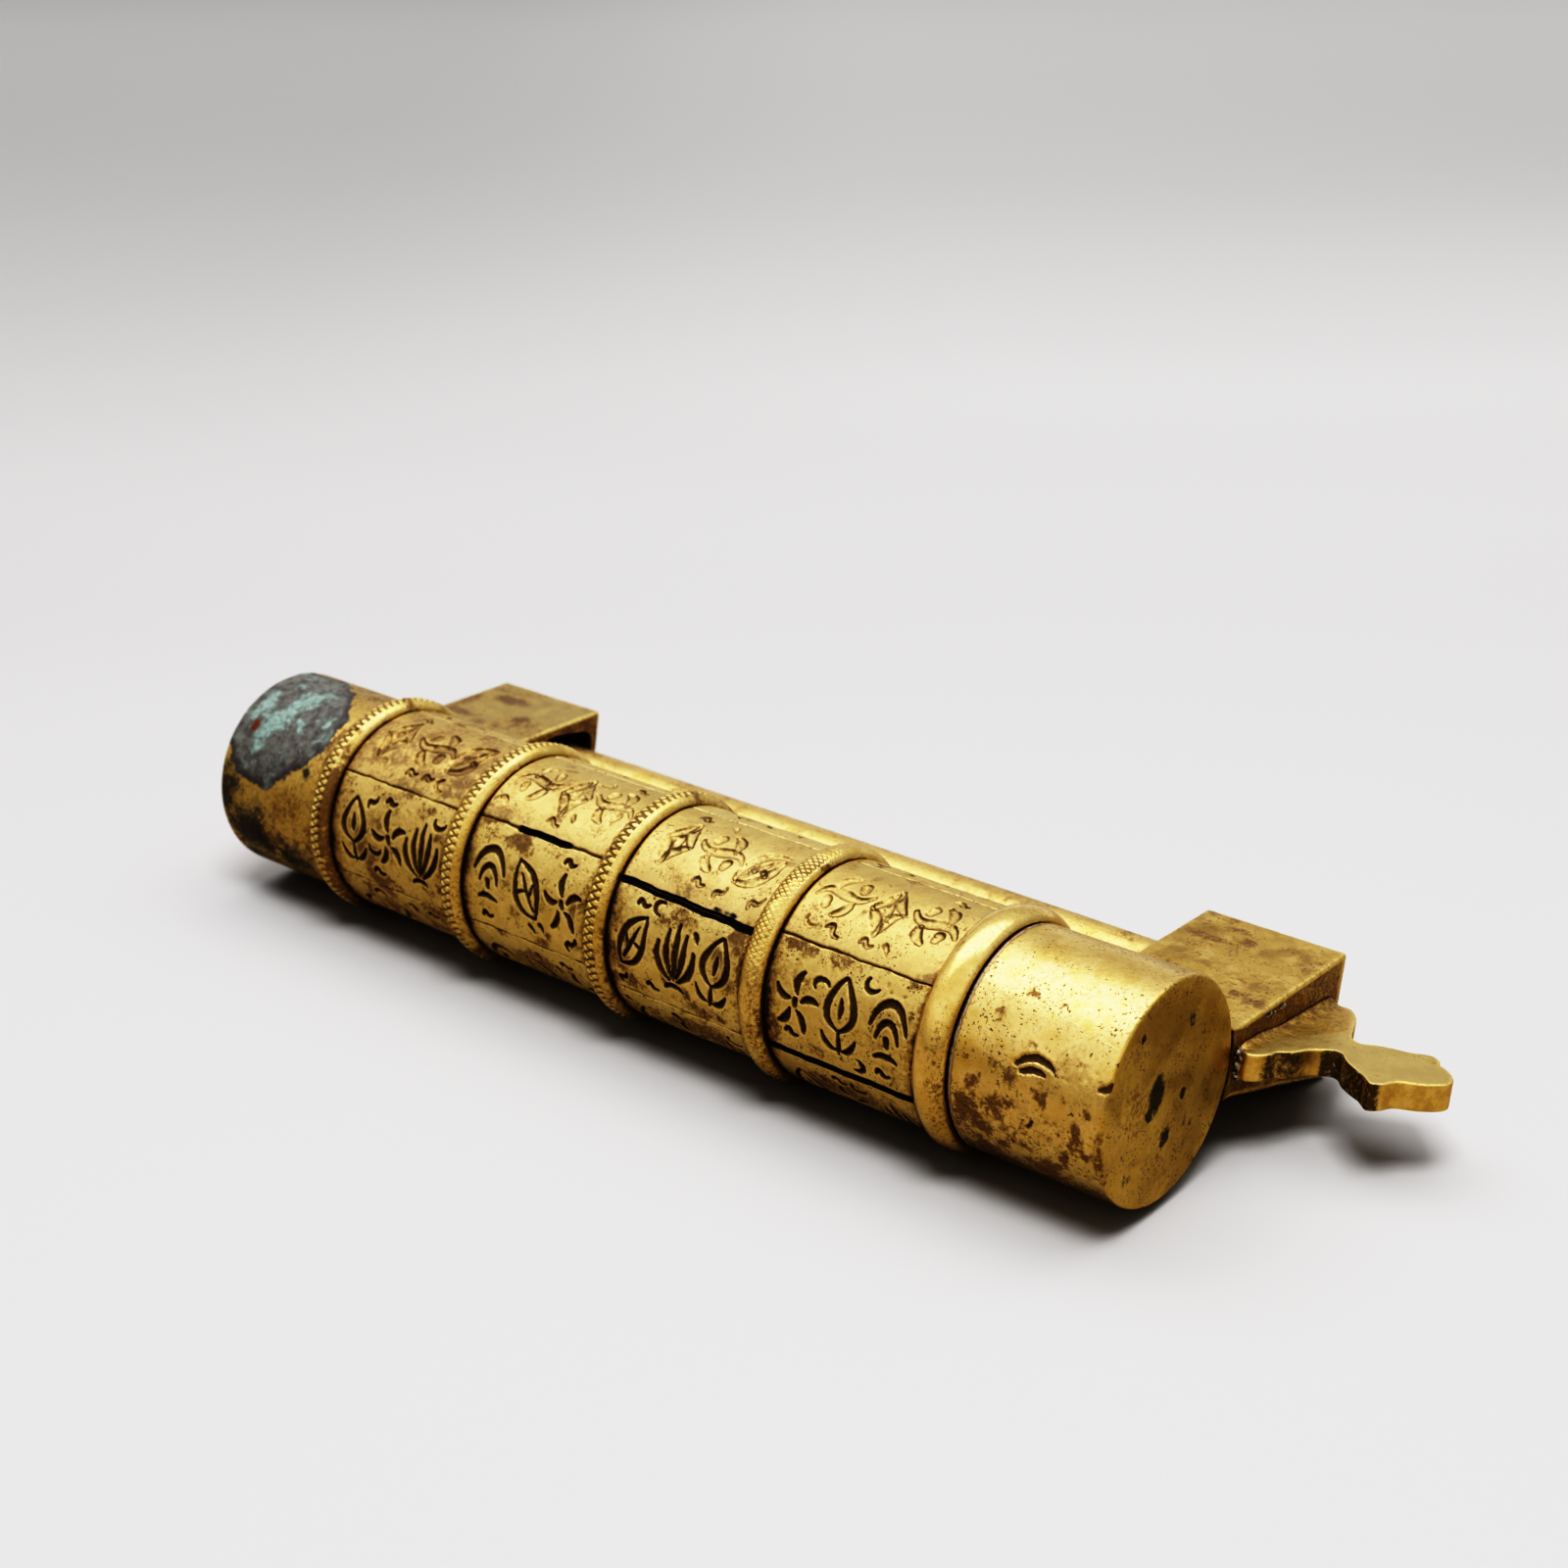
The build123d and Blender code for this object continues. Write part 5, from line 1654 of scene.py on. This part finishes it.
RIGHT_CAP_BRASS = brass("right_cap_brass", seed=8.0, tarnish=0.45, shine=0.25,
                        gold_b=(0.87, 0.69, 0.335), speck=1.2, relief=0.7, skin=0.22,
                        masks=("cav", "dirt", "tarn", "blk2", "face", "seam"))
ARM_MASKS = ("edge", "tarn", "dirt", "blk2")
LEFT_ARM_BRASS = brass("left_arm_brass", seed=9.0, tarnish=0.95, shine=0.34, purple=0.7,
                       gold_a=(0.45, 0.33, 0.135), gold_b=(0.60, 0.465, 0.20), speck=0.3,
                       skin=0.4, masks=ARM_MASKS)
RIGHT_ARM_BRASS = brass("right_arm_brass", seed=10.0, tarnish=0.95, shine=0.34,
                        gold_a=(0.50, 0.345, 0.105), gold_b=(0.71, 0.515, 0.185),
                        brushed=(0.50, 1.0, 1.0), speck=1.0, skin=0.75, masks=ARM_MASKS)
BAR_BRASS = brass("shackle_brass", seed=11.0, tarnish=0.45, shine=0.30,
                  brushed=(0.05, 1.6, 1.6), speck=0.2, masks=("tarn",))
FINIAL_BRASS = brass("finial_brass", seed=12.0, tarnish=0.25, shine=0.40,
                     gold_a=(0.55, 0.42, 0.17), gold_b=(0.67, 0.53, 0.235), speck=0.1,
                     masks=("edge", "side", "band", "crust", "dirt"))
FILLET_BRASS = brass("fillet_brass", seed=14.0, tarnish=1.0, shine=0.32,
                     gold_a=(0.52, 0.31, 0.085), gold_b=(0.66, 0.46, 0.16), speck=0.4,
                     masks=("tarn", "dirt"))
INNER_BRASS = brass("inner_brass", seed=13.0, tarnish=0.8, shine=0.34,
                    gold_a=(0.55, 0.38, 0.10), gold_b=(0.70, 0.50, 0.16),
                    brushed=(0.08, 2.0, 2.0))
SOLDER = solder_material()

# ---------------------------------------------------------------------------------------------
# build
# ---------------------------------------------------------------------------------------------


def fit(obj, material, body, node=None):
    """dress a piece, hang it on its body and let it stand in for a CAD node"""
    obj.data.materials.clear()
    obj.data.materials.append(material)
    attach(obj, body)
    if node:
        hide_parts(node)


for dial, kind in enumerate(("coarse", "coarse", "fine", "plain")):
    node = f"dial_{dial + 1}"
    fit(make_dial(dial), DIAL_BRASS[dial], f"{node}_body", node)
    fit(make_bead(f"{node}_bead", f"{node}_grip_bead", kind, dial + 2),
        PLAIN_BEAD_BRASS if kind == "plain" else BEAD_BRASS,
        f"{node}_body", f"{node}_bead")

# the left cap's bead stops at the arm
fit(make_bead("left_end_bead", "left_cap_bead", "coarse", 1, ends=(-160.6, 160.6)),
    BEAD_BRASS, "lock_body", "left_end_bead")
fit(make_left_cap(), LEFT_CAP_BRASS, "lock_body", "left_end_cap")
fit(make_right_cap(), RIGHT_CAP_BRASS, "sliding_bolt", "right_end_cap")
fit(make_arm("left_arm", "left_arm_block", R_LCAP, True, 1),
    LEFT_ARM_BRASS, "lock_body", "left_arm")
fit(make_arm("right_arm", "right_arm_block", R_RCAP, False, 2),
    RIGHT_ARM_BRASS, "sliding_bolt", "right_arm")
fit(make_bar(), BAR_BRASS, "sliding_bolt", "shackle_bar")
fit(make_finial(), FINIAL_BRASS, "sliding_bolt", "finial_plate")
fit(make_solder(), SOLDER, "sliding_bolt")
fit(make_fillet(), FILLET_BRASS, "sliding_bolt")

# the CAD pieces inside keep their shapes
for node in ("spindle_tube", "spindle_collar", "bolt_stem",
             *(f"bolt_tooth_{k}" for k in range(1, 5))):
    obj = NODES[node]
    if not obj.material_slots:
        obj.data.materials.append(INNER_BRASS)
    for slot in obj.material_slots:
        slot.material = INNER_BRASS

# ---------------------------------------------------------------------------------------------
# stage: a floor that sweeps up into a backdrop (metres)
# ---------------------------------------------------------------------------------------------
SWEEP_BEND_Y, SWEEP_RADIUS = 1.5, 0.9
SWEEP_TURN = 39.8  # degrees about z


def sweep_material():
    mat = Material("pale_sweep")
    x, y, z = mat.split(mat.coords)
    # painted shade: the floor's colour falls off with distance behind the lock, in place of the light falling off
    tone = mat.mix((y + x * -0.30).ramp(over=(60.0, 520.0)), (0.800, 0.797, 0.805),
                   (0.650, 0.650, 0.652))
    # painted reflection and shade: glossy rays see a warm, dim floor in front and a glowing backdrop behind, and
    # bounce light sees a darker floor, a painted shade that deepens the shadows
    camera, mirrored = mat.rays()
    mirror_tone = mat.mix(y.ramp(over=(-20.0, 420.0)), (0.57, 0.475, 0.34),
                          (0.68, 0.655, 0.58))
    floor = mat.add("BsdfDiffuse", {"Color": mat.mix(
        mirrored, mat.mix(camera, (0.26, 0.25, 0.24), tone), mirror_tone)})
    backdrop = mat.add("Emission", {
        "Strength": z.ramp(over=(300.0, 900.0), to=(1.02, 0.80)),
        "Color": (1.0, 0.965, 0.86)})
    base = mat.add("MixShader", {0: y.ramp(over=(180.0, 900.0)) * mirrored,
                                 1: floor, 2: backdrop})
    # the backdrop's own light, seen by the camera only
    lift = (y.ramp(over=(130.0, 240.0), to=(0.0, 0.07))
            + y.ramp(over=(500.0, 1000.0), to=(0.0, 0.17))
            + x.ramp(over=(-160.0, 60.0), to=(0.0, 0.09)) * y.ramp(over=(220.0, 320.0)))
    far = mat.largest(mat.math("ABSOLUTE", x).ramp(over=(330.0, 1000.0)),
                      y.ramp(over=(1040.0, 1700.0)),
                      (y * -1.0).ramp(over=(400.0, 1500.0)))
    lift = mat.largest(lift, far * 0.50)
    glow = mat.add("Emission", {"Strength": lift * camera})
    return mat.surface(mat.add("AddShader", {0: base, 1: glow}))


def make_stage():
    rows, cols = 60, 120
    along = np.linspace(-2.2, 3.4, cols)
    bend_end = SWEEP_BEND_Y + SWEEP_RADIUS * math.pi / 2
    turn = (along - SWEEP_BEND_Y) / SWEEP_RADIUS
    flat, bending = along < SWEEP_BEND_Y, along < bend_end
    y = np.where(flat, along, np.where(bending, SWEEP_BEND_Y + SWEEP_RADIUS * np.sin(turn),
                                       SWEEP_BEND_Y + SWEEP_RADIUS))
    z = np.where(flat, 0, np.where(bending, SWEEP_RADIUS * (1 - np.cos(turn)),
                                   SWEEP_RADIUS + (along - bend_end)))
    x = np.repeat(np.linspace(-3, 3, rows)[:, None], cols, 1)
    points = np.stack([x, np.broadcast_to(y, x.shape), np.broadcast_to(z, x.shape)], -1)
    mesh = bpy.data.meshes.new("studio_sweep")
    mesh.from_pydata(points.reshape(-1, 3).tolist(), [],
                     grid_quads(rows, cols, False, False).tolist())
    mesh.update()
    for polygon in mesh.polygons:
        polygon.use_smooth = True
    obj = bpy.data.objects.new("studio_sweep", mesh)
    bpy.context.scene.collection.objects.link(obj)
    obj.rotation_euler = (0, 0, math.radians(SWEEP_TURN))
    mesh.materials.append(sweep_material())


make_stage()

# ---------------------------------------------------------------------------------------------
# world and lights
# ---------------------------------------------------------------------------------------------
scene = bpy.context.scene


def make_world():
    world = bpy.data.worlds.new("soft_studio")
    scene.world = world
    world.use_nodes = True
    sky = Graph(world.node_tree)
    output = sky.node("OutputWorld")
    _, y, z = sky.split(sky.add("TexCoord", output="Generated"))
    camera, mirrored = sky.rays()
    # fill light: dim in front, brighter behind and overhead
    fill = (y.ramp(over=(-0.5, 0.8), to=(0.09, 0.19))
            + z.ramp(over=(0.15, 0.9), to=(0.0, 0.12)))
    # what the brass mirrors
    front = z.ramp(over=(-0.10, 0.66), to=(0.50, 1.36))
    back = z.ramp(over=(0.0, 0.8), to=(0.62, 1.18))
    mirror = sky.blend(y.ramp(over=(-0.25, 0.35)), front, back)
    # plain pale grey where the camera sees it directly
    camera_grey = 0.62
    strength = sky.blend(camera, sky.blend(mirrored, fill, mirror), camera_grey)
    # low in front the brass sees a warm glow off the table
    low_front = (z.ramp(over=(0.05, 0.62), to=(1.0, 0.0))
                 * y.ramp(over=(0.3, -0.3)) * mirrored)
    tint = sky.mix(low_front, (0.97, 0.985, 1.0), (1.08, 0.94, 0.68))
    # the light that fills the shadows is warm too
    colour = sky.mix(sky.largest(mirrored, camera), (1.04, 0.955, 0.90), tint)
    sky.feed(output.inputs[0], sky.add("Background", {"Color": colour, "Strength": strength}))


def area_light(name, location, target, size, power):
    light = bpy.data.lights.new(name, "AREA")
    light.shape = "RECTANGLE"
    light.size, light.size_y = size
    light.energy = power
    obj = bpy.data.objects.new(name, light)
    scene.collection.objects.link(obj)
    obj.location = location
    aim = Vector(target) - Vector(location)
    obj.rotation_euler = aim.to_track_quat("-Z", "Y").to_euler()
    return obj


make_world()
area_light("top_softbox", location=(-0.12, 0.165, 0.85), target=(-0.05, 0.03, 0),
           size=(1.5, 0.66), power=5.35)
key = area_light("floor_key", location=(0.20, -0.25, 0.86), target=(0.0, 0, 0),
                 size=(0.40, 0.30), power=5.0)
key.visible_glossy = False

# ---------------------------------------------------------------------------------------------
# camera and tone
# ---------------------------------------------------------------------------------------------
CAMERA_YAW, CAMERA_PITCH, CAMERA_ROLL = 2.2656, -0.4155, -0.0085  # radians
# row-axis offsets in mm from the x = 0 station on the spindle axis
CAMERA_OFFSET = (242.6634, -220.9102, 149.31)
FOCUS = (X0 + 85.0, -9.0, 10.0)  # lock coordinates
SENSOR_MM, LENS_MM = 36.0, 59.8815


def make_camera():
    cos_pitch = math.cos(CAMERA_PITCH)
    forward = Vector((math.cos(CAMERA_YAW) * cos_pitch, math.sin(CAMERA_YAW) * cos_pitch,
                      math.sin(CAMERA_PITCH)))
    level = forward.cross(Vector((0, 0, 1))).normalized()
    upright = level.cross(forward)
    c, s = math.cos(CAMERA_ROLL), math.sin(CAMERA_ROLL)
    right, up = c * level + s * upright, -s * level + c * upright
    location = Vector([(offset + origin) / MM
                       for offset, origin in zip(CAMERA_OFFSET, (X0, AXIS[1], AXIS[2]))])
    camera = bpy.data.cameras.new("camera")
    obj = bpy.data.objects.new("camera", camera)
    scene.collection.objects.link(obj)
    pose = Matrix.Identity(4)
    for k in range(3):
        pose[k][0], pose[k][1], pose[k][2], pose[k][3] = right[k], up[k], -forward[k], location[k]
    obj.matrix_world = pose
    camera.sensor_fit = "HORIZONTAL"
    camera.sensor_width = SENSOR_MM
    camera.lens = LENS_MM
    camera.clip_start = 0.01
    camera.clip_end = 20
    camera.dof.use_dof = True
    camera.dof.focus_distance = (Vector(to_row(*FOCUS).tolist()) - location).dot(forward)
    camera.dof.aperture_fstop = 36.0
    scene.camera = obj


# photographic curve with a deep toe and a soft shoulder: (scene value, shown value)
WHITE = 2.6
TONE = [(0.05, 0.008), (0.10, 0.0275), (0.20, 0.098), (0.32, 0.212), (0.46, 0.378),
        (0.62, 0.56), (0.80, 0.725), (1.0, 0.845), (1.3, 0.925), (1.7, 0.965)]


def set_tone():
    view = scene.view_settings
    view.view_transform = "Standard"
    view.look = "None"
    view.exposure = 0.0
    view.use_curve_mapping = True
    mapping = view.curve_mapping
    mapping.white_level = (WHITE, WHITE, WHITE)
    mapping.clip_max_x = mapping.clip_max_y = 1.0
    curve = mapping.curves[3]
    curve.points[0].location = (0.0, 0.0)
    curve.points[1].location = (1.0, 1.0)
    for value, shown in TONE:
        curve.points.new(value / WHITE, shown)
    mapping.update()


make_camera()
set_tone()
scene.cycles.use_denoising = True

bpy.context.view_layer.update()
